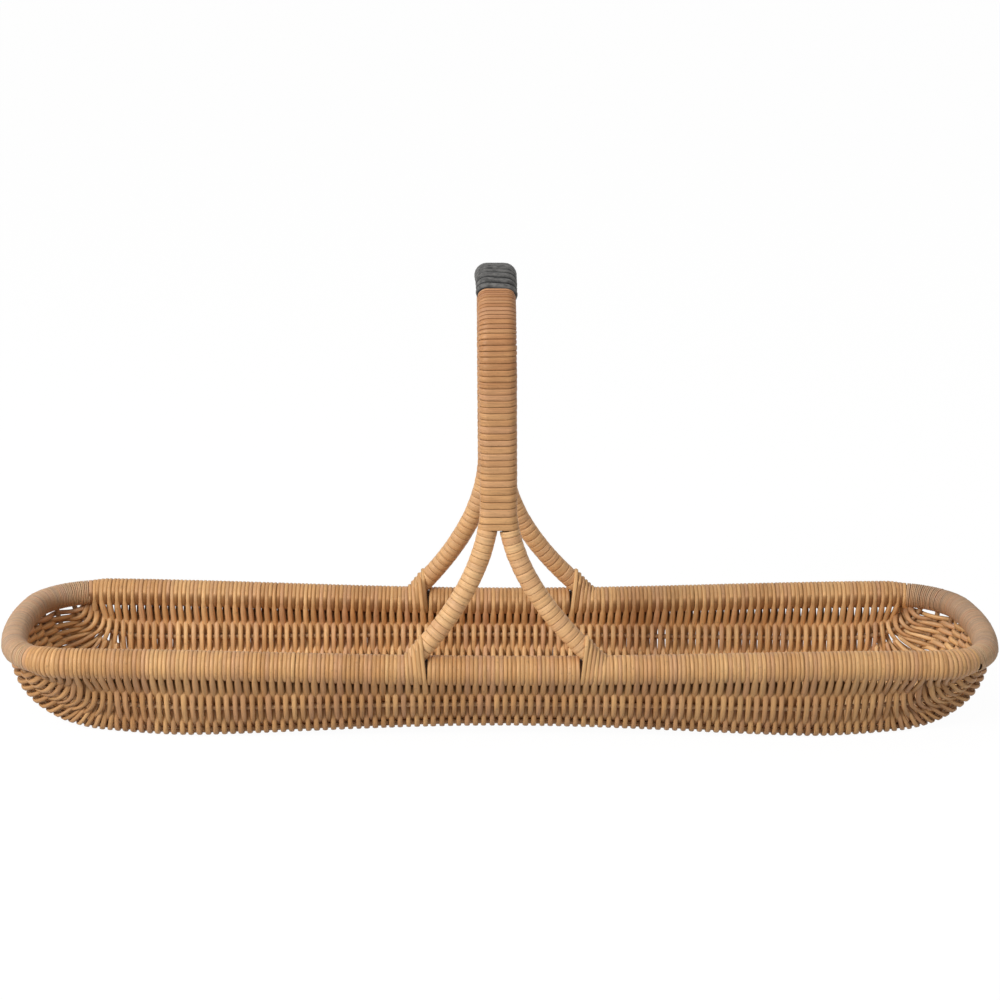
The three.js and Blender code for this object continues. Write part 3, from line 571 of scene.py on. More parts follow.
# Weaving
class Weave:
    """The passes of the weavers: over and under the ribs, and round the rim at both sides."""

    # Points on a turn round the rim and from rib to rib, and how far off a line's bend is read
    wrap_stations = 24
    span_stations = 7
    bend_reach = 0.0015

    # Round the pole, in degrees up from its outer side: a turn's cut ends, where they get painted shade for
    # the shade of their neighbours, and where the turn faces into the basket and gets painted light
    cut_outside = -125
    cut_inside = 235
    shaded_outside = (45, 70)
    shaded_inside = (154, 172)
    facing_inside = (140, 180)
    cut_end_painted_shade = 0.9
    inside_painted_light = 0.6

    # Short passes: how many full passes from the end they start, how they move on from there by a pair's
    # number and its square, and where a pair lies between two full passes, in fifths of the way
    from_end = 2
    pair_spacing = 0.5
    pair_growth = 0.09
    first_pair = (1, 2)
    second_pair = (3, 4)

    # How far a short pass goes on past its last rib, as a share of the way to the next line
    short_end = 0.8

    # What a hand leaves uneven: the width of a strand, and its place on the rim as a share of that on a rib
    uneven_width = 0.055
    rim_wander = 0.6

    # Where the painted light and shade of a pass's inner side change on its way from the rim to the first rib
    dark_behind = (0.35, 0.85)
    loss_behind = 0.8
    bright_before = (0.6, 1)
    gain_before = 0.3

    # How many times as wide and as tall as the handle's rod the inside of a lashing is
    lashing_room = np.array([1.0, 1.4])

    # On the way between the rim and a rib: where a strand turns to lie flat on the rib, and where it
    # reaches its full width
    turn_after_rim = (0.3, 1)
    turn_before_rim = (0, 0.7)
    leaving_reach = 0.25

    def __init__(self, settings, random):
        self.tray = Tray(settings)
        self.rim = self.tray.rim
        self.handle = Handle(settings.handle, self.rim)
        self.sizes = settings.tray
        self.lashing = settings.handle
        s = self.sizes
        self.half_thickness = s.weaver_thickness / 2
        self.offset = (s.rib_diameter + s.pressed_thickness) / 2
        self.rank_passes()
        self.lay_out(random)

    def rank_passes(self):
        """Full passes lie evenly along the rim, and short pairs fill what the longer ribs have beyond."""
        s, tray = self.sizes, self.tray
        half = s.weaver_count // 2
        clearance = self.rim.pole_radius + 2 * self.half_thickness + self.rim.sizes.cane_thickness
        self.reaches = [line.length - clearance for line in tray.lines]
        for rim_line in (0, -1):
            self.reaches[rim_line] = tray.lines[rim_line].length
        self.pitch_inside = self.reaches[-1] / half
        self.even_until = round(s.packing_start * half)
        packed = self.even_until * self.pitch_inside
        left = half - self.even_until
        self.pairs = []
        for reach in self.reaches:
            room = (reach - packed) / self.pitch_inside
            self.pairs.append(max(0, round((room - left) / 2)))
        number = np.arange(max(self.pairs))
        steps = np.floor(self.pair_spacing * number + self.pair_growth * number**2)
        self.starts = half - self.from_end - steps
        shares_gap = np.append(False, np.diff(steps) == 0)
        self.fifths = [self.second_pair if late else self.first_pair for late in shares_gap]
        ranks = [(rank, sign) for sign in (-1, 1) for rank in range(half)]
        self.full = len(ranks)
        self.spans = [(0, tray.count - 1)] * self.full
        for pair in number:
            lines = [j for j in range(tray.count) if self.pairs[j] > pair]
            for sign in (-1, 1):
                for fifth in self.fifths[pair]:
                    ranks.append((self.starts[pair] + fifth / 5, sign))
                    self.spans.append((lines[0], lines[-1]))
        self.ranks = np.array([rank for rank, sign in ranks])
        self.signs = np.array([sign for rank, sign in ranks])
        # Neighbours go over and under a rib by turns, short passes too
        near = np.floor(self.ranks) + np.round(self.ranks % 1 * 5) % 2
        order = np.where(self.signs > 0, half + near, half - 1 - near)
        self.parity = order.astype(int) % 2

    def passes_on(self, j):
        """The ranks of the passes that line j carries on either half, short ones in fifths."""
        full = np.arange(self.sizes.weaver_count // 2, dtype=float)
        pairs = range(self.pairs[j])
        short = [self.starts[pair] + fifth / 5 for pair in pairs for fifth in self.fifths[pair]]
        return np.sort(np.concatenate([full, short]))

    def lay_out(self, random):
        """Each pass's place on each line, with the directions along the line and into the basket."""
        s, tray = self.sizes, self.tray
        mirror = np.stack([self.signs, np.ones_like(self.signs), np.ones_like(self.signs)], axis=-1)
        places, travel, pitch, bend, left = [], [], [], [], []
        for j, line in enumerate(tray.lines):
            present = self.passes_on(j)
            number = np.interp(self.ranks, present, np.arange(len(present))) + 0.5
            inside = np.minimum(number, self.even_until)
            packed = self.even_until * self.pitch_inside
            step = (self.reaches[j] - packed) / (len(present) - self.even_until)
            distance = inside * self.pitch_inside + (number - inside) * step
            on_rib = 0 < j < tray.count - 1
            distance += random.normal(0, s.wander, len(self.ranks)) * (1 if on_rib else self.rim_wander)
            places.append(line.at(distance) * mirror)
            travel.append(line.travel(distance) * mirror * self.signs[:, None])
            before, after = line.travel(distance - self.bend_reach), line.travel(distance + self.bend_reach)
            bend.append((after - before) / (2 * self.bend_reach) * mirror)
            pitch.append(np.where(number > self.even_until, step, self.pitch_inside))
            left.append(line.length - distance)
        self.places, self.travel = np.array(places), np.array(travel)
        self.bend, self.pitch = np.array(bend), np.array(pitch)
        sideways = np.zeros_like(self.places)
        steps = unit(np.diff(self.places, axis=0))
        sideways[:-1] += steps
        sideways[1:] += steps
        self.inward = unit(np.cross(self.travel, sideways))
        self.widths = random.normal(1, self.uneven_width, len(self.ranks))
        half = s.weaver_count // 2
        self.thinner = smoothstep(self.ranks / half, s.packing_start, 1)
        thin = self.rim.sizes.cane_thickness / 2
        taper = smoothstep(np.array(left), 0, s.taper_reach)
        self.rim_thickness = thin + (self.half_thickness - thin) * taper

    def wrap(self, k, side):
        """Round the rim, from the cut end to where the strand leaves for the first rib."""
        line = 0 if side < 0 else -1
        rib = 1 if side < 0 else -2
        centre = self.places[line, k]
        along = self.travel[line, k]
        up = across_to(np.array([0.0, 0.0, 1.0]), along)
        out = np.cross(up, along) * side
        radius = self.rim.pole_radius + self.rim.sizes.seat_gap + self.rim_thickness[line, k]
        target = self.key(k, rib) - centre
        away = math.atan2(np.dot(target, up), np.dot(target, out))
        reach = math.hypot(np.dot(target, up), np.dot(target, out))
        turn = math.acos(radius / reach)
        if self.parity[k] == 0:
            angles = np.linspace(math.radians(self.cut_inside), away + turn, self.wrap_stations)
            covered = smoothstep(np.degrees(angles), *self.shaded_inside)
        else:
            leave = (away - turn) % (2 * math.pi)
            angles = np.linspace(math.radians(self.cut_outside), leave, self.wrap_stations)
            covered = smoothstep(-np.degrees(angles), *self.shaded_outside)
        points = self.loop(centre, along, out, up, angles, radius)
        facing = np.cos(angles)[:, None] * out + np.sin(angles)[:, None] * up
        # Round a corner the turns spread on the outer side of the bend
        stretch = 1 - (points - centre) @ self.bend[line, k]
        # Painted shade on a cut end among its neighbours, and painted light where the turn faces into the
        # basket
        gain = self.inside_painted_light * smoothstep(np.degrees(angles), *self.facing_inside)
        return {
            "points": points,
            "wide": np.repeat(along[None], self.wrap_stations, axis=0),
            "facing": facing,
            "inward": np.zeros_like(facing),
            "behind": np.zeros(self.wrap_stations),
            "light": (1 - self.cut_end_painted_shade * covered) * (1 + gain),
            "width": self.sizes.rim_fill * self.pitch[line, k] * stretch,
            "thickness": np.full(self.wrap_stations, self.rim_thickness[line, k]),
        }

    def loop(self, centre, along, out, up, angles, radius):
        """Round the pole alone or, at a foot of the handle, round the pole and the rod on it."""
        ring = radius * np.stack([np.cos(angles), np.sin(angles)], axis=-1)
        lean = 0.0
        s = self.lashing
        start, end = s.lashing_start, s.lashing_end
        if start < abs(centre[0]) < end:
            sign = int(math.copysign(1, centre[0]))
            lean = sign * s.lashing_lean * (end - abs(centre[0])) / (end - start)
            y, z = self.handle.rod_over(centre[0] + lean, sign)
            middle = np.array([y - abs(centre[1]), z - centre[2]])
            covers_cane = 1 - smoothstep(abs(centre[0]) - start, 0, s.lashing_seat)
            seat = (s.winding_gap + s.cane_thickness) * covers_cane
            half = self.lashing_room * self.handle.rod_radius + self.half_thickness + seat
            facing = np.stack([np.cos(angles), np.sin(angles)], axis=-1)
            stretch = np.linalg.norm(facing * half, axis=1)
            over_rod = facing @ middle + stretch > radius
            rod_ring = middle + facing * half**2 / stretch[:, None]
            ring = np.where(over_rod[:, None], rod_ring, ring)
        rise = np.clip((ring[:, 1] + radius) / (ring[:, 1].max() + radius), 0, 1)
        return centre + ring[:, :1] * out + ring[:, 1:] * up + (rise * lean)[:, None] * along

    def side_of(self, k, line):
        """1 where a pass lies inside a rib, -1 where it lies outside."""
        return 1 if (line % self.tray.count + self.parity[k]) % 2 == 1 else -1

    def key(self, k, line):
        """Where a pass lies over or under a rib."""
        return self.places[line, k] + self.inward[line, k] * self.offset * self.side_of(k, line)

    def strand(self, k, tone):
        """A pass: its turn round the rim in front, its body, and its turn round the rim at the back."""
        first, last = self.spans[k]
        top = self.tray.count - 1
        wraps = [self.wrap(k, -1) if first == 0 else None, self.wrap(k, 1) if last == top else None]
        if wraps[1]:
            wraps[1] = {name: values[::-1] for name, values in wraps[1].items()}
        body = self.body(k, wraps)
        parts = [part for part in (wraps[0], body, wraps[1]) if part]
        whole = {name: np.concatenate([part[name] for part in parts]) for name in body}
        half_width = whole["width"] / 2 * self.widths[k]
        cover = [whole[name] for name in ("facing", "inward", "light", "behind")]
        return strand_sweep(whole["points"], whole["wide"], half_width, whole["thickness"], tone, cover)

    def body(self, k, wraps):
        """A pass between its turns, over and under the ribs. A short one stops just before the next rib."""
        first, last = self.spans[k]
        top = self.tray.count - 1
        ribs = range(max(1, first), min(top, last + 1))
        end_lines = [max(0, first - 1), min(top, last + 1)]
        keys = [self.key(k, j) for j in ribs]
        facing = [self.inward[j, k] * self.side_of(k, j) for j in ribs]
        ends, end_facing, slopes = [], [], []
        for end, (wrap, line) in enumerate(zip(wraps, end_lines)):
            if wrap:
                turn = wrap["points"]
                ends.append(turn[end - 1])
                end_facing.append(wrap["facing"][end - 1])
                slopes.append(turn[1] - turn[0] if end else turn[-1] - turn[-2])
            else:
                inner = keys[-end]
                ends.append((1 - self.short_end) * inner + self.short_end * self.places[line, k])
                end_facing.append(np.zeros(3))
                slopes.append((inner - ends[end]) * (1 - 2 * end))
        keys = np.array([ends[0], *keys, ends[1]])
        facing = np.array([end_facing[0], *facing, end_facing[1]])
        t = (np.arange(1, self.span_stations + 1) / self.span_stations)[None, :, None]
        ease = np.repeat((1 - np.cos(math.pi * t)) / 2, len(keys) - 1, axis=0)
        if wraps[0]:
            ease[0] = smoothstep(t[0], *self.turn_after_rim)
        if wraps[1]:
            ease[-1] = smoothstep(t[0], *self.turn_before_rim)
        points = curve_through(keys, slopes, t)
        along = slice(end_lines[0], end_lines[1] + 1)
        lines = end_lines[0] + np.arange(1, len(points) + 1) / self.span_stations
        return {
            "points": points,
            "wide": blend(self.travel[along, k], t),
            "facing": blend(facing, ease),
            "inward": blend(self.inward[along, k], t),
            "light": np.ones(len(points)),
            "behind": self.behind_rim(k, lines),
            "width": self.body_widths(k, lines),
            "thickness": self.body_thickness(k, lines, wraps),
        }

    def behind_rim(self, k, lines):
        """Painted shade inside a pass near the rim from behind it, or painted light from before it."""
        shade = np.zeros(len(lines))
        for rib, distance in ((1, lines), (-2, self.tray.count - 1 - lines)):
            if self.side_of(k, rib) > 0:
                shade += self.loss_behind * (1 - smoothstep(distance, *self.dark_behind))
            else:
                shade -= self.gain_before * (1 - smoothstep(distance, *self.bright_before))
        return shade

    def body_thickness(self, k, lines, wraps):
        """Pressed flat over each rib, and as thick at the rim as the turn round it."""
        s = self.sizes
        plain = self.half_thickness * (1 - s.end_thinning * self.thinner[k])
        pressed = np.minimum(s.pressed_thickness / 2, plain)
        thickness = plain + (pressed - plain) * np.cos(math.pi * lines) ** 2
        near = self.span_stations
        share = np.arange(1, near + 1) / near
        if wraps[0]:
            thickness[:near] = wraps[0]["thickness"][-1] * (1 - share) + plain * share
        if wraps[1]:
            thickness[-near:] = (wraps[1]["thickness"][0] * (1 - share) + plain * share)[::-1]
        return thickness

    def body_widths(self, k, lines):
        """Narrow halfway between two ribs and pressed wide over each. Line 1 is the wall's rib."""
        s = self.sizes
        crest = np.cos(math.pi * lines) ** 2
        from_rim = np.minimum(lines, self.tray.count - 1 - lines)
        low = np.select([from_rim < 1, from_rim < 2], [s.slit_fill, s.crossing_fill], s.floor_fill)
        high = np.select([from_rim < 1.5, from_rim < 2.5], [s.wall_crest_fill, s.corner_fill], s.crest_fill)
        leaving = s.rim_fill + (s.slit_fill - s.rim_fill) * smoothstep(from_rim, 0, self.leaving_reach)
        fill = np.where(from_rim < 0.5, leaving, low + (high - low) * crest)
        fill = fill * (1 - s.end_thinning * self.thinner[k] * np.minimum(1, from_rim))
        return fill * np.interp(lines, np.arange(self.tray.count), self.pitch[:, k])


def weaver_tones(number, random):
    """A weaver makes some ten passes before the next is laid in, and each has its own tone."""
    fewest, most, spread = 6, 13, 0.25
    tones = []
    while len(tones) < number:
        passes = random.integers(fewest, most + 1)
        tones.extend([random.random()] * passes)
    return np.clip(np.array(tones[:number]) + random.normal(0, spread, number), 0, 1)


class BASKET_OT_weavers(bpy.types.Operator):
    """Weave the tray, with the weavers' turns round the rim and over the handle's feet"""

    bl_idname = "basket.weavers"
    bl_label = "Weavers"

    def execute(self, context):
        settings = context.scene.flower_basket
        random = np.random.default_rng(SEED)
        weave = Weave(settings, random)
        tones = weaver_tones(len(weave.ranks), random)
        material = cane_material("Weaver cane", settings.finish, "weaver", bump=0.55)
        start, end = weave.lashing.lashing_start, weave.lashing.lashing_end
        x = weave.places[0, :, 0]
        short = np.arange(len(x)) >= weave.full
        order = np.argsort(x + short)
        zones = [
            ("weavers_left", x <= -end, "rim_side_wrap", "left"),
            ("weavers_left_foot", (x > -end) & (x < -start), "foot_lashing", "left"),
            ("weavers_middle", np.abs(x) <= start, "rim_side_wrap", "middle"),
            ("weavers_right_foot", (x > start) & (x < end), "foot_lashing", "right"),
            ("weavers_right", x >= end, "rim_side_wrap", "right"),
        ]
        pieces = [
            (name, here & ~short, [f"{turns}_front_{place}", f"{turns}_back_{place}"])
            for name, here, turns, place in zones
        ]
        pieces += [(f"packing_{name}", short & (weave.signs == sign), []) for name, sign in ENDS]
        for name, chosen, nodes in pieces:
            sweeps = [weave.strand(k, tones[place]) for place, k in enumerate(order) if chosen[k]]
            mesh = swept_mesh(name, sweeps, random)
            add_piece(name, mesh, material, ["woven_tray", *nodes])
        return {"FINISHED"}


class BASKET_OT_ribs(bpy.types.Operator):
    """Lay the lengthwise ribs that the weavers go over and under"""

    bl_idname = "basket.ribs"
    bl_label = "Ribs"

    def execute(self, context):
        settings = context.scene.flower_basket
        random = np.random.default_rng(SEED + 1)
        tray = Tray(settings)
        material = wood_material("Rib wood", settings.finish, "rib", bump=0.6)
        seat = tray.rim.pole_radius + settings.rim.seat_gap + settings.rim.cane_thickness
        radius = settings.tray.rib_diameter / 2
        shares = np.sin(np.linspace(-math.pi / 2, math.pi / 2, RIB_STATIONS))
        for j in range(1, tray.count - 1):
            line = tray.lines[j]
            distance = np.abs(shares) * (line.length - seat)
            mirror = np.stack([np.sign(shares), np.ones_like(shares), np.ones_like(shares)], axis=-1)
            points = line.at(distance) * mirror
            upright = np.tile([0.0, 1.0, 0.0], (len(points), 1))
            half = np.full(len(points), radius)
            name = f"rib_rod_{j:02d}"
            sweep = strand_sweep(points, upright, half, half, random.random())
            mesh = swept_mesh(name, [sweep], random)
            add_piece(name, mesh, material, [f"rib_{j:02d}"])
        return {"FINISHED"}


# Windings
def symmetric(edge, crown=()):
    """A strip's section: one edge, the crown, the other edge and the middle of its underside."""
    other = [(-place, height) for place, height in reversed(edge)]
    return np.array([*edge, *crown, *other, (0, 0)])


# Sections of the strips: places across over the pitch, and heights over the thickness
FLAT_CANE = symmetric([(-0.5, 0.15), (-0.48, 0.62), (-0.38, 0.9), (-0.16, 1.0)])
LEG_CANE = symmetric([(-0.5, 0.35), (-0.49, 0.74), (-0.4, 0.95), (-0.16, 1.0)])
FINE_CANE = symmetric([(-0.5, 0.25), (-0.36, 0.86)], crown=[(0, 1.0)])
STRAP_RISE = [(-0.5, 0.0), (-0.47, 0.3), (-0.36, 0.75), (-0.2, 1.1), (0.04, 1.25)]
STRAP = np.array([*STRAP_RISE, (0.26, 1.05), (0.42, 0.5), (0.48, 0.0), (0, -0.1)])

# Points on a turn, and how much its thickness varies
ROD_STEPS = 24
PAIR_STEPS = 12
FLAT_STEPS = 6
FINE_STEPS = 20
UNEVEN_LIFT = 0.05


def seam_shades(profile):
    """Painted shade, darkest in the seams between turns, and the plain colour on their backs."""
    deepest, low, rise = 0.35, 0.1, 0.75
    return deepest + (1 - deepest) * np.clip((profile[:, 1] - low) / rise, 0, 1)


def round_outline():
    """A turn round one rod, from its outer side: the side of the pair, and the angle."""
    turn = -math.pi / 2 + 2 * math.pi * np.arange(ROD_STEPS) / ROD_STEPS
    return np.zeros(ROD_STEPS), turn


def paired_outline():
    """A turn round two rods side by side: flats between them and a half circle at each side."""
    flat = np.linspace(-1, 1, FLAT_STEPS)
    half = np.linspace(-math.pi / 2, math.pi / 2, PAIR_STEPS)
    side = np.concatenate([flat, np.ones(PAIR_STEPS - 1), flat[::-1][1:], -np.ones(PAIR_STEPS - 2)])
    outer = np.full(FLAT_STEPS, half[0])
    inner = np.full(FLAT_STEPS - 1, half[-1])
    return side, np.concatenate([outer, half[1:], inner, math.pi + half[1:-1]])


def from_inside(outline):
    """The same outline, started on the inner side of the arch."""
    half = len(outline[0]) // 2
    return tuple(np.roll(values, -half) for values in outline)


def even(share):
    """The pitch stays the same from start to finish."""
    return share


def no_spread(point):
    """One rod alone has no other beside it."""
    return 0.0


class Winding:
    """A strip carried round an outline while it climbs along a path, from start to finish."""

    def __init__(self, path, outline, profile, near, thickness, groove, spread):
        self.path = path
        self.side, self.turn = outline
        self.profile = profile
        self.near = near
        self.thickness = thickness
        self.groove = groove
        self.spread = spread

    def climb(self, start, finish, level):
        """The share of a turn's rise at each point. A level turn rises only near its start and its end."""
        middle_spread = self.spread(self.path.at((start + finish) / 2))
        across = self.side * middle_spread + self.near * np.cos(self.turn)
        flat = np.stack([across, self.near * np.sin(self.turn)], axis=-1)
        edges = np.linalg.norm(np.roll(flat, -1, axis=0) - flat, axis=1)
        climb = np.concatenate([[0], np.cumsum(edges)[:-1]]) / edges.sum()
        if level:
            rising = 0.3
            climb = (smoothstep(climb, 0, rising) + smoothstep(climb, 1 - rising, 1)) / 2
        return climb

    def sweep(self, start, finish, turns, tones, uneven, random, level=True, ease=even):
        """The strip's edges are uneven between its turns, so a wide turn has narrow neighbours."""
        steps = len(self.side)
        climb = self.climb(start, finish, level)
        number = np.arange(turns * steps + 1)
        turn_number, rise = number // steps, climb[number % steps]
        edge = np.arange(turns + 3) + random.normal(0, uneven, turns + 3)
        edge[[0, 1, -2, -1]] = [0, 1, turns + 1, turns + 2]
        low = edge[turn_number] + (edge[turn_number + 1] - edge[turn_number]) * rise
        high = edge[turn_number + 1] + (edge[turn_number + 2] - edge[turn_number + 1]) * rise
        share = ((low + high) / 2 - 0.5) / turns
        distance = start + (finish - start) * ease(share)
        half_turn = 0.5 / turns
        pitch_here = (ease(share + half_turn) - ease(share - half_turn)) * (finish - start)
        width = pitch_here * (high - low) - self.groove
        lift = 1 + random.normal(0, UNEVEN_LIFT, turns + 1)[turn_number]
        side, turn = self.side[number % steps], self.turn[number % steps]
        rings = []
        for along, height in self.profile:
            spot = distance + along * width
            point = self.path.at(spot)
            travel = self.path.travel(spot)
            up = unit(np.cross(travel, np.array([1.0, 0.0, 0.0])))
            across = np.cross(up, travel)
            reach = self.near + height * self.thickness * lift
            sideways = side * self.spread(point) + reach * np.cos(turn)
            rings.append(point + across * sideways[:, None] + up * (reach * np.sin(turn))[:, None])
        # Painted shade in the seams between turns
        return Sweep(np.stack(rings, axis=1), tones[turn_number], seam_shades(self.profile)[None])


class BASKET_OT_end_wraps(bpy.types.Operator):
    """Wind the fine cane round both ends of the rim"""

    bl_idname = "basket.end_wraps"
    bl_label = "End wraps"

    def execute(self, context):
        settings = context.scene.flower_basket
        random = np.random.default_rng(SEED + 2)
        rim = Rim(settings.rim)
        material = cane_material("End cane", settings.finish, "end", bump=0.5)
        right = rim.end().points
        for name, points in (("right", right), ("left", right * (-1, 1, 1))):
            mesh = swept_mesh(f"fine_cane_{name}", [rim_winding(Line(points), rim, random)], random)
            add_piece(f"fine_cane_{name}", mesh, material, [f"rim_end_wrap_{name}"])
        return {"FINISHED"}


def rim_winding(path, rim, random):
    """Fine cane wound round the rim. Below, its first turns are pressed away from the weavers in front."""
    sizes = rim.sizes
    uneven_place, width, end_tone, end_reach, seam_light = 0.05, 0.97, 0.55, 0.03, 0.6
    turns = round(path.length / sizes.cane_pitch)
    near = rim.pole_radius + sizes.seat_gap
    number = np.arange(turns * FINE_STEPS + 1)
    pitch = path.length / turns
    distance = pitch * number / FINE_STEPS
    turn = 2 * math.pi * number / FINE_STEPS
    turn_number = number // FINE_STEPS
    shift = random.normal(0, uneven_place, turns + 1)[turn_number]
    lift = 1 + random.normal(0, UNEVEN_LIFT, turns + 1)[turn_number]
    # The pressing is strongest on the lower outer side of a turn and fades over some ten turns
    below = np.clip(0.25 - np.sin(turn), 0, 1) * np.clip(np.cos(turn) + 0.4, 0, 1)
    pressed = sizes.notch * below * np.exp(-distance / (2 * sizes.notch))
    rings = []
    for along, height in FINE_CANE:
        spot = distance + pressed + (along * width + shift) * pitch
        point = path.at(spot)
        travel = path.travel(spot)
        up = across_to(np.tile([0.0, 0.0, 1.0], (len(spot), 1)), travel)
        across = np.cross(travel, up)
        reach = (near + height * sizes.cane_thickness * lift)[:, None]
        rings.append(point + reach * (across * np.cos(turn)[:, None] + up * np.sin(turn)[:, None]))
    from_edge = np.minimum(distance, path.length - distance)
    tones = (1 - end_tone) * random.random(turns + 1)[turn_number]
    tones += end_tone * (1 - smoothstep(from_edge, 0, end_reach))
    # Milder painted shade in the seams of the fine cane
    shades = seam_light + (1 - seam_light) * seam_shades(FINE_CANE)
    return Sweep(np.stack(rings, axis=1), tones, shades[None])


class BASKET_OT_leg_wraps(bpy.types.Operator):
    """Wind flat cane round the four legs of the handle"""

    bl_idname = "basket.leg_wraps"
    bl_label = "Leg wraps"

    def execute(self, context):
        settings = context.scene.flower_basket
        random = np.random.default_rng(SEED + 3)
        s = settings.handle
        handle = Handle(s, Rim(settings.rim))
        material = cane_material("Handle cane", settings.finish, "handle", bump=0.45, variety=0.6)
        near = handle.rod_radius + s.winding_gap
        uneven_edge = 0.12
        for end, sign in ENDS:
            path = handle.path(sign)
            low = handle.distance_at(path, s.foot_height) + s.leg_start
            high = handle.distance_at(path, s.crotch_height)
            legs = (
                ("front", low, high, from_inside(round_outline())),
                ("back", path.length - high, path.length - low, round_outline()),
            )
            for side, start, finish, outline in legs:
                cane = Winding(path, outline, LEG_CANE, near, s.cane_thickness, s.cane_groove, no_spread)
                tones = random.random(s.leg_turns + 1)
                sweep = cane.sweep(start, finish, s.leg_turns, tones, uneven_edge, random)
                name = f"leg_cane_{side}_{end}"
                mesh = swept_mesh(name, [sweep], random)
                add_piece(name, mesh, material, [f"leg_wrap_{side}_{end}"])
        return {"FINISHED"}


class BASKET_OT_band_wraps(bpy.types.Operator):
    """Wind flat cane round both rods together, and the leather strap round the top"""

    bl_idname = "basket.band_wraps"
    bl_label = "Band wraps and grip"

    def execute(self, context):
        settings = context.scene.flower_basket
        random = np.random.default_rng(SEED + 4)
        s = settings.handle
        handle = Handle(s, Rim(settings.rim))
        path = handle.path(0)
        cane = cane_material("Band cane", settings.finish, "band", bump=0.45, variety=0.8)
        leather = leather_material("Grip leather", settings.finish)
        start = handle.distance_at(path, s.crotch_height)
        grip = path.length / 2 - s.leather_arc / 2 * s.arch_radius
        closing = 0.30
        foot_tone, uneven_tone, uneven_edge = 0.85, 0.1, 0.11

        def closing_up(share):
            """The turns lie closer and closer from start to finish."""
            return (1 + closing) * share - closing * share**3

        def opening_out(share):
            """The turns lie wider and wider from start to finish."""
            return 1 - closing_up(1 - share)

        def spread(point):
            return handle.spread(point[..., 2])

        near = handle.rod_radius + s.winding_gap
        outline = from_inside(paired_outline())
        strap_outline = from_inside([values[::-1] for values in paired_outline()])
        band = Winding(path, outline, FLAT_CANE, near, s.cane_thickness, s.cane_groove, spread)
        strap = Winding(path, strap_outline, STRAP, near, s.leather_thickness, s.cane_groove, spread)
        other_start, other_grip = path.length - start, path.length - grip
        pieces = (
            ("band_cane_front", "band_wrap_front", band, start, grip, s.band_turns, closing_up),
            ("band_cane_back", "band_wrap_back", band, other_grip, other_start, s.band_turns, opening_out),
            ("grip_strap", "grip_wrap", strap, grip, other_grip, s.leather_turns, even),
        )
        for name, node, winding, low, high, turns, ease in pieces:
            rise = np.linspace(0, 1, turns + 1)[:: -1 if "back" in name else 1]
            tones = foot_tone * (1 - rise) + random.normal(0, uneven_tone, turns + 1)
            tones = np.clip(tones, 0, 1)
            level = winding is band
            sweep = winding.sweep(low, high, turns, tones, uneven_edge, random, level, ease)
            mesh = swept_mesh(name, [sweep], random)
            material, slot = (cane, "handle_cane") if winding is band else (leather, "grip_leather")
            add_piece(name, mesh, material, [node])
        return {"FINISHED"}


# Finishes
COLOUR, VALUE = "NodeSocketColor", "NodeSocketFloat"


class Nodes:
    """Adds nodes to a tree and links them."""

    def __init__(self, tree):
        self.tree = tree

    def add(self, kind, **settings):
        """A new node with its settings."""
        node = self.tree.nodes.new(kind)
        for key, value in settings.items():
            setattr(node, key, value)
        return node

    def feed(self, socket, source):
        """Link a socket to another one, or give it a value."""
        if isinstance(source, bpy.types.NodeSocket):
            self.tree.links.new(source, socket)
        else:
            socket.default_value = source

    def math(self, operation, *values):
        node = self.add("ShaderNodeMath", operation=operation)
        for socket, value in zip(node.inputs, values):
            self.feed(socket, value)
        return node.outputs[0]

    def times(self, a, b):
        return self.math("MULTIPLY", a, b)

    def plus(self, a, b):
        return self.math("ADD", a, b)

    def mix(self, share, a, b, blend="MIX"):
        node = self.add("ShaderNodeMix", data_type="RGBA", blend_type=blend)
        self.feed(node.inputs["Factor"], share)
        self.feed(node.inputs["A"], a)
        self.feed(node.inputs["B"], b)
        return node.outputs["Result"]

    def tint(self, colour, by):
        return self.mix(1.0, colour, by, blend="MULTIPLY")

    def attribute(self, name):
        return self.add("ShaderNodeAttribute", attribute_name=name).outputs["Fac"]

    def uv(self):
        return self.add("ShaderNodeUVMap", uv_map="UVMap").outputs[0]

    def place(self):
        return self.add("ShaderNodeTexCoord").outputs["Object"]

    def range(self, value, low, high, to_low, to_high):
        """A value from low to high, carried over to the range from to_low to to_high."""
        node = self.add("ShaderNodeMapRange")
        for label, number in (
            ("Value", value),
            ("From Min", low),
            ("From Max", high),
            ("To Min", to_low),
            ("To Max", to_high),
        ):
            self.feed(node.inputs[label], number)
        return node.outputs["Result"]

    def noise(self, vector, fineness, detail=3.0, roughness=0.5):
        """Noise with so many spots to a metre along each axis."""
        mapping = self.add("ShaderNodeMapping")
        self.feed(mapping.inputs["Vector"], vector)
        mapping.inputs["Scale"].default_value = fineness
        noise = self.add("ShaderNodeTexNoise")
        self.feed(noise.inputs["Vector"], mapping.outputs[0])
        noise.inputs["Scale"].default_value = 1.0
        noise.inputs["Detail"].default_value = detail
        noise.inputs["Roughness"].default_value = roughness
        return noise.outputs["Fac"]

    def grey(self, value):
        """A value as a colour of no hue."""
        node = self.add("ShaderNodeCombineColor")
        for socket in node.inputs:
            self.feed(socket, value)
        return node.outputs[0]

    def seen_rays(self):
        """1 for rays from the camera and for those that gloss or glass sends on, else 0."""
        path = self.add("ShaderNodeLightPath").outputs
        either = self.math("MAXIMUM", path["Is Camera Ray"], path["Is Glossy Ray"])
        return self.math("MAXIMUM", either, path["Is Transmission Ray"])


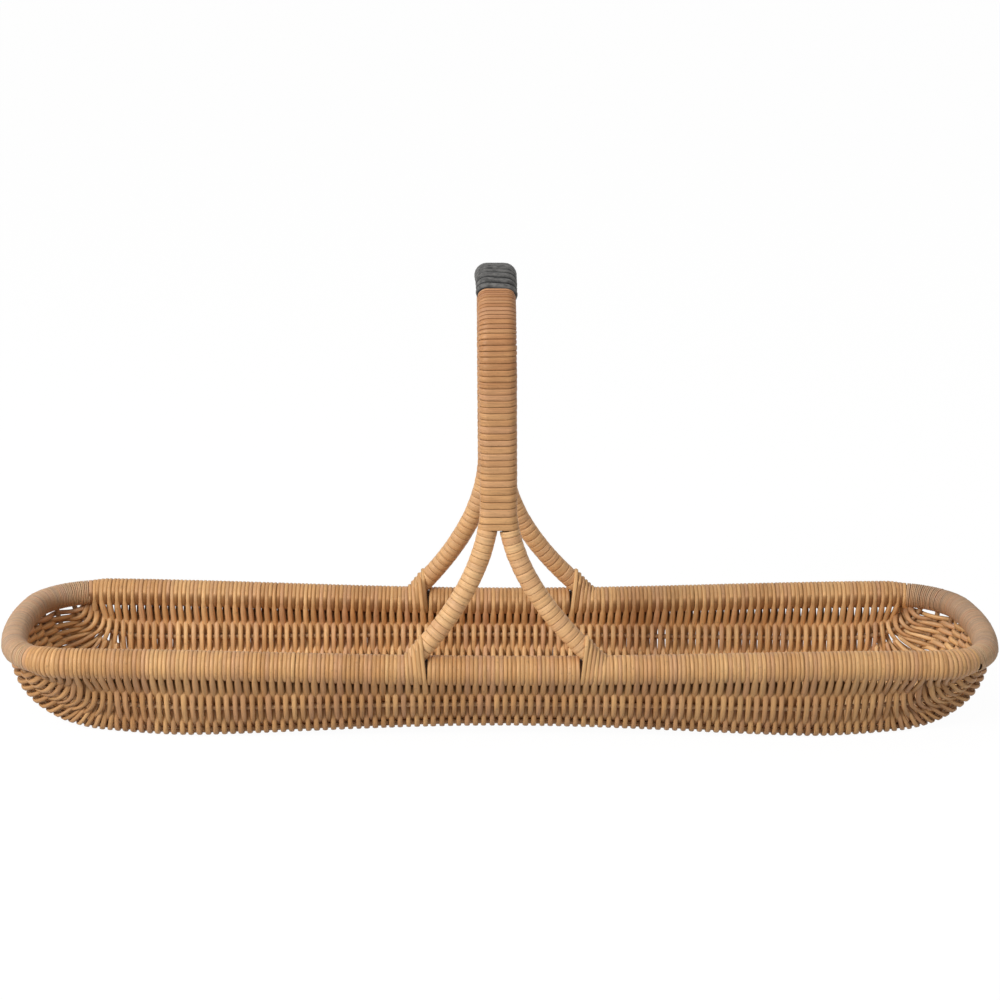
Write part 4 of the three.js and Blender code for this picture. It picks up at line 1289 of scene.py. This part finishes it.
def shared_group(name, build, inputs):
    """The finish group of this name. If it is new, it gets its sockets, and build adds its nodes."""
    group = bpy.data.node_groups.get(name)
    if group:
        return group
    group = bpy.data.node_groups.new(name, "ShaderNodeTree")
    for label, kind, value in inputs:
        socket = group.interface.new_socket(label, in_out="INPUT", socket_type=kind)
        socket.default_value = value
    for label, kind in (("Color", COLOUR), ("Roughness", VALUE), ("Height", VALUE)):
        group.interface.new_socket(label, in_out="OUTPUT", socket_type=kind)
    nodes = Nodes(group)
    source = nodes.add("NodeGroupInput").outputs
    result = nodes.add("NodeGroupOutput").inputs
    for label, value in zip(("Color", "Roughness", "Height"), build(nodes, source)):
        nodes.feed(result[label], value)
    return group


def cane_fibre(nodes, source):
    """Long fibres, blotches and each strand's own tone, along its UV map in metres, with painted light and
    shade.
    """
    stain_colour = (0.06, 0.03, 0.015, 1)
    # Tints of the painted shade, and of the paler painted light above a shade of 1
    deep_shade = (0.42, 0.34, 0.28, 1)
    plain, painted_light_tint = (1, 1, 1, 1), (1.42, 1.66, 2.0, 1)
    uv = nodes.uv()
    tone = nodes.attribute("tone")
    shade = nodes.attribute("shade")
    fibre = nodes.noise(uv, (2600, 90, 1), detail=4.0, roughness=0.6)
    cord = nodes.noise(uv, (750, 30, 1), detail=2.0)
    blotch = nodes.noise(uv, (160, 28, 1), detail=2.0)
    speck = nodes.noise(uv, (900, 320, 1), detail=2.0)

    away = nodes.times(nodes.math("SUBTRACT", tone, 0.5), nodes.times(source["Variety"], 0.62))
    share = nodes.plus(nodes.plus(away, 0.31), nodes.times(blotch, 0.5))
    base = nodes.mix(nodes.range(share, 0.2, 0.9, 0.0, 1.0), source["Dark"], source["Light"])
    second_tone = nodes.math("FRACT", nodes.times(tone, 7.3))
    blush = nodes.times(nodes.range(second_tone, 0.4, 1.0, 0.0, 0.6), source["Variety"])
    base = nodes.mix(blush, base, source["Blush"])
    streak = nodes.times(nodes.range(fibre, 0.3, 0.62, 0.82, 1.08), nodes.range(cord, 0.35, 0.6, 0.84, 1.04))
    base = nodes.tint(base, nodes.grey(streak))
    stain = nodes.range(speck, 0.60, 0.74, 0.0, 0.5)
    base = nodes.mix(stain, base, nodes.mix(0.55, base, stain_colour))
    # Painted shade below a shade of 1 and painted light above it
    shaded = nodes.mix(shade, nodes.tint(base, deep_shade), base)
    lift = nodes.mix(nodes.range(shade, 1.0, BRIGHTEST, 0.0, 1.0), plain, painted_light_tint)

    roughness = nodes.range(fibre, 0.3, 0.7, 0.62, 0.42)
    height = nodes.plus(fibre, nodes.times(blotch, 0.6))
    return nodes.tint(shaded, lift), roughness, height


def wood_grain(nodes, source):
    """Grain that runs along the basket, in object coordinates."""
    place = nodes.place()
    grain = nodes.noise(place, (30, 700, 700), detail=4.0, roughness=0.6)
    knots = nodes.noise(place, (14, 60, 60), detail=2.0)
    share = nodes.plus(nodes.times(grain, 0.6), nodes.times(knots, 0.4))
    colour = nodes.mix(nodes.range(share, 0.35, 0.65, 0, 1), source["Dark"], source["Light"])
    return colour, nodes.range(grain, 0.3, 0.7, 0.72, 0.52), grain


def leather_grain(nodes, source):
    """Fine pebbled grain, crests partly rubbed and partly painted highlight, and painted shade in the seams.
    """
    deep_shade = (0.12, 0.12, 0.12, 1)
    place = nodes.place()
    shade = nodes.attribute("shade")
    pebble = nodes.noise(place, (1400, 1400, 1400))
    crease = nodes.noise(place, (260, 420, 420))
    # Pale crests: partly rubbed wear and partly painted highlight
    rubbed_and_highlit = nodes.times(nodes.range(shade, 0.75, 1.0, 0.0, 1.0), nodes.range(crease, 0.3, 0.7, 0.1, 0.8))
    hide = nodes.mix(rubbed_and_highlit, source["Hide"], source["Worn and highlit"])
    # Painted shade in the seams between turns
    colour = nodes.mix(nodes.math("POWER", shade, 2.5), nodes.tint(hide, deep_shade), hide)
    return colour, nodes.range(pebble, 0.3, 0.7, 0.62, 0.46), nodes.plus(pebble, crease)


def brushed_steel(nodes, source):
    """Fine scratches on steel."""
    scratch = nodes.noise(nodes.place(), (600, 9000, 9000))
    tint = nodes.grey(nodes.range(scratch, 0.3, 0.7, 0.85, 1.05))
    return nodes.tint(source["Steel"], tint), nodes.range(scratch, 0.3, 0.7, 0.28, 0.5), scratch


# How high the relief of a bump stands
RELIEF_HEIGHT = 0.0003


def surface(name, group, values, bump, gloss=None):
    """A material whose colour, roughness and bump come from a group."""
    material = bpy.data.materials.new(name)
    material.use_nodes = True
    nodes = Nodes(material.node_tree)
    shader = material.node_tree.nodes["Principled BSDF"]
    source = nodes.add("ShaderNodeGroup", node_tree=group)
    for label, value in values.items():
        source.inputs[label].default_value = value
    nodes.feed(shader.inputs["Base Color"], source.outputs["Color"])
    nodes.feed(shader.inputs["Roughness"], source.outputs["Roughness"])
    relief = nodes.add("ShaderNodeBump")
    relief.inputs["Strength"].default_value = bump
    relief.inputs["Distance"].default_value = RELIEF_HEIGHT
    nodes.feed(relief.inputs["Height"], source.outputs["Height"])
    nodes.feed(shader.inputs["Normal"], relief.outputs["Normal"])
    for label, value in (gloss or {}).items():
        shader.inputs[label].default_value = value
    return material


def solid_colour(value):
    """A colour that lets nothing through."""
    return (*value, 1.0)


def light_and_dark(finish, kind):
    """The light and the dark colour of a kind of cane or wood."""
    return {tone: solid_colour(getattr(finish, f"{kind}_{tone.lower()}")) for tone in ("Light", "Dark")}


def cane_material(name, finish, kind, bump, variety=1.0):
    inputs = [
        ("Light", COLOUR, (0.6, 0.4, 0.2, 1)),
        ("Dark", COLOUR, (0.3, 0.2, 0.1, 1)),
        ("Blush", COLOUR, (0.5, 0.3, 0.2, 1)),
        ("Variety", VALUE, 1.0),
    ]
    group = shared_group("Cane fibre", cane_fibre, inputs)
    values = light_and_dark(finish, kind)
    values["Blush"] = solid_colour(finish.weaver_blush)
    values["Variety"] = variety
    return surface(name, group, values, bump, gloss={"Specular IOR Level": 0.4})


def wood_material(name, finish, kind, bump):
    inputs = [("Light", COLOUR, (0.5, 0.35, 0.2, 1)), ("Dark", COLOUR, (0.25, 0.15, 0.08, 1))]
    group = shared_group("Wood grain", wood_grain, inputs)
    return surface(name, group, light_and_dark(finish, kind), bump)


def leather_material(name, finish):
    inputs = [("Hide", COLOUR, (0.07, 0.07, 0.07, 1)), ("Worn and highlit", COLOUR, (0.2, 0.2, 0.2, 1))]
    group = shared_group("Leather grain", leather_grain, inputs)
    values = {"Hide": solid_colour(finish.leather), "Worn and highlit": solid_colour(finish.leather_worn_and_highlit)}
    return surface(name, group, values, bump=0.25, gloss={"Specular IOR Level": 0.3})


def steel_material(name, finish):
    group = shared_group("Brushed steel", brushed_steel, [("Steel", COLOUR, (0.4, 0.4, 0.4, 1))])
    return surface(name, group, {"Steel": solid_colour(finish.steel)}, bump=0.2, gloss={"Metallic": 1.0})


class BASKET_OT_frame_finishes(bpy.types.Operator):
    """Give the pole, the rods and the brads their wood and steel"""

    bl_idname = "basket.frame_finishes"
    bl_label = "Pole, rods and brads"

    def execute(self, context):
        finish = context.scene.flower_basket.finish
        pole = wood_material("Pole wood", finish, "pole", bump=0.6)
        rod = wood_material("Rod wood", finish, "rib", bump=0.6)
        steel = steel_material("Brad steel", finish)
        for name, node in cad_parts.items():
            if name == "rim_pole":
                node.material_slots[0].material = pole
            elif name.startswith("handle_rod"):
                node.material_slots[0].material = rod
            elif "brad" in name:
                node.material_slots[0].material = steel
        return {"FINISHED"}


# Stage
LAMP_TARGET = (0, 0, 0.1)

# Each lamp's name, place, size and power
LAMPS = (
    ("Key lamp", (-1.6, -1.45, 1.5), 1.0, 45),
    ("Fill lamp", (1.6, -1.9, 1.4), 1.4, 1),
    ("Top lamp", (-0.1, -0.1, 2.4), 1.4, 6),
)

# The white of the world as it lights the basket and as it is seen
WORLD_LIGHT = 0.40
WORLD_SEEN = 1.0

# The floor, and how much of it is a glow where it is seen
FLOOR_HALF_WIDTH = 20.0
FLOOR_ROUGHNESS = 0.9
FLOOR_GLOW = 1.04
FLOOR_GLOW_SHARE = 0.93

# The camera's place, its height above the rim, and how it is turned, in radians
CAMERA_PLACE = (-0.0023, -1.6506, 0.63535)
CAMERA_HEADING = 0.025
CAMERA_PITCH = 0.309
CAMERA_ROLL = 0.0118
CAMERA_LENS = 78.3
CAMERA_SENSOR = 36
CAMERA_REACH = 50


def add_lamp(name, place, size, power):
    """A round lamp that faces the basket."""
    lamp = bpy.data.lights.new(name, "AREA")
    lamp.shape = "DISK"
    lamp.size = size
    lamp.energy = power
    holder = bpy.data.objects.new(name, lamp)
    bpy.context.scene.collection.objects.link(holder)
    holder.location = place
    back = unit(np.array(place, float) - np.array(LAMP_TARGET, float))
    across = unit(np.cross([0, 0, 1.0], back))
    axes = Matrix([across, np.cross(back, across), back]).transposed()
    holder.rotation_euler = axes.to_euler()


class BASKET_OT_stage(bpy.types.Operator):
    """Lay a pale floor and set the lamps and the camera"""

    bl_idname = "basket.stage"
    bl_label = "Stage"

    def execute(self, context):
        scene = context.scene
        finish = scene.flower_basket.finish
        self.lay_floor(finish)
        self.light_world(scene)
        for lamp in LAMPS:
            add_lamp(*lamp)
        self.place_camera(scene)
        scene.view_settings.view_transform = "Standard"
        return {"FINISHED"}

    def lay_floor(self, finish):
        """A floor of pale paint that looks almost white to the camera."""
        bm = bmesh.new()
        bmesh.ops.create_grid(bm, x_segments=1, y_segments=1, size=FLOOR_HALF_WIDTH)
        mesh = bpy.data.meshes.new("floor")
        bm.to_mesh(mesh)
        bm.free()
        floor = bpy.data.objects.new("floor", mesh)
        bpy.context.scene.collection.objects.link(floor)
        material = bpy.data.materials.new("Pale floor")
        material.use_nodes = True
        nodes = Nodes(material.node_tree)
        tree = material.node_tree.nodes
        paint = tree["Principled BSDF"]
        paint.inputs["Base Color"].default_value = solid_colour(finish.floor)
        paint.inputs["Roughness"].default_value = FLOOR_ROUGHNESS
        glow = nodes.add("ShaderNodeEmission")
        glow.inputs["Strength"].default_value = FLOOR_GLOW
        mix = nodes.add("ShaderNodeMixShader")
        nodes.feed(mix.inputs[0], nodes.times(nodes.seen_rays(), FLOOR_GLOW_SHARE))
        nodes.feed(mix.inputs[1], paint.outputs[0])
        nodes.feed(mix.inputs[2], glow.outputs[0])
        nodes.feed(tree["Material Output"].inputs["Surface"], mix.outputs[0])
        mesh.materials.append(material)

    def light_world(self, scene):
        """A white world whose light on the basket is softer than the white that the camera sees."""
        world = bpy.data.worlds.new("Studio")
        world.use_nodes = True
        scene.world = world
        nodes = Nodes(world.node_tree)
        strength = nodes.range(nodes.seen_rays(), 0.0, 1.0, WORLD_LIGHT, WORLD_SEEN)
        background = world.node_tree.nodes["Background"]
        background.inputs["Color"].default_value = (1, 1, 1, 1)
        nodes.feed(background.inputs["Strength"], strength)

    def place_camera(self, scene):
        """The camera of the photograph."""
        data = bpy.data.cameras.new("Camera")
        data.sensor_width = CAMERA_SENSOR
        data.lens = CAMERA_LENS
        data.clip_end = CAMERA_REACH
        camera = bpy.data.objects.new("Camera", data)
        scene.collection.objects.link(camera)
        x, y, above_rim = CAMERA_PLACE
        stand = Matrix.Translation((x, y, above_rim + scene.flower_basket.rim.height))
        pitch = Matrix.Rotation(math.pi / 2 - CAMERA_PITCH, 4, "X")
        roll = Matrix.Rotation(CAMERA_ROLL, 4, "Z")
        camera.matrix_world = Matrix.Rotation(-CAMERA_HEADING, 4, "Z") @ stand @ pitch @ roll
        scene.camera = camera


OPERATORS = (
    BASKET_OT_weavers,
    BASKET_OT_ribs,
    BASKET_OT_end_wraps,
    BASKET_OT_leg_wraps,
    BASKET_OT_band_wraps,
    BASKET_OT_frame_finishes,
    BASKET_OT_stage,
)


class BASKET_PT_panel(bpy.types.Panel):
    """Lists the basket's pieces in the sidebar"""

    bl_idname = "BASKET_PT_panel"
    bl_label = "Flower basket"
    bl_space_type = "VIEW_3D"
    bl_region_type = "UI"
    bl_category = "Basket"

    def draw(self, context):
        for operator in OPERATORS:
            self.layout.operator(operator.bl_idname)
        settings = context.scene.flower_basket
        for group in (settings.rim, settings.tray, settings.handle, settings.finish):
            box = self.layout.box()
            for name in group.bl_rna.properties.keys():
                if name not in ("rna_type", "name"):
                    box.prop(group, name)


CLASSES = (RimSizes, TraySizes, HandleSizes, FinishColours, BasketSettings, *OPERATORS, BASKET_PT_panel)


def register():
    for cls in CLASSES:
        bpy.utils.register_class(cls)
    bpy.types.Scene.flower_basket = PointerProperty(type=BasketSettings)


def unregister():
    del bpy.types.Scene.flower_basket
    for cls in reversed(CLASSES):
        bpy.utils.unregister_class(cls)


def main():
    register()
    for operator in OPERATORS:
        name = operator.bl_idname.split(".")[1]
        getattr(bpy.ops.basket, name)()


if __name__ == "__main__":
    main()
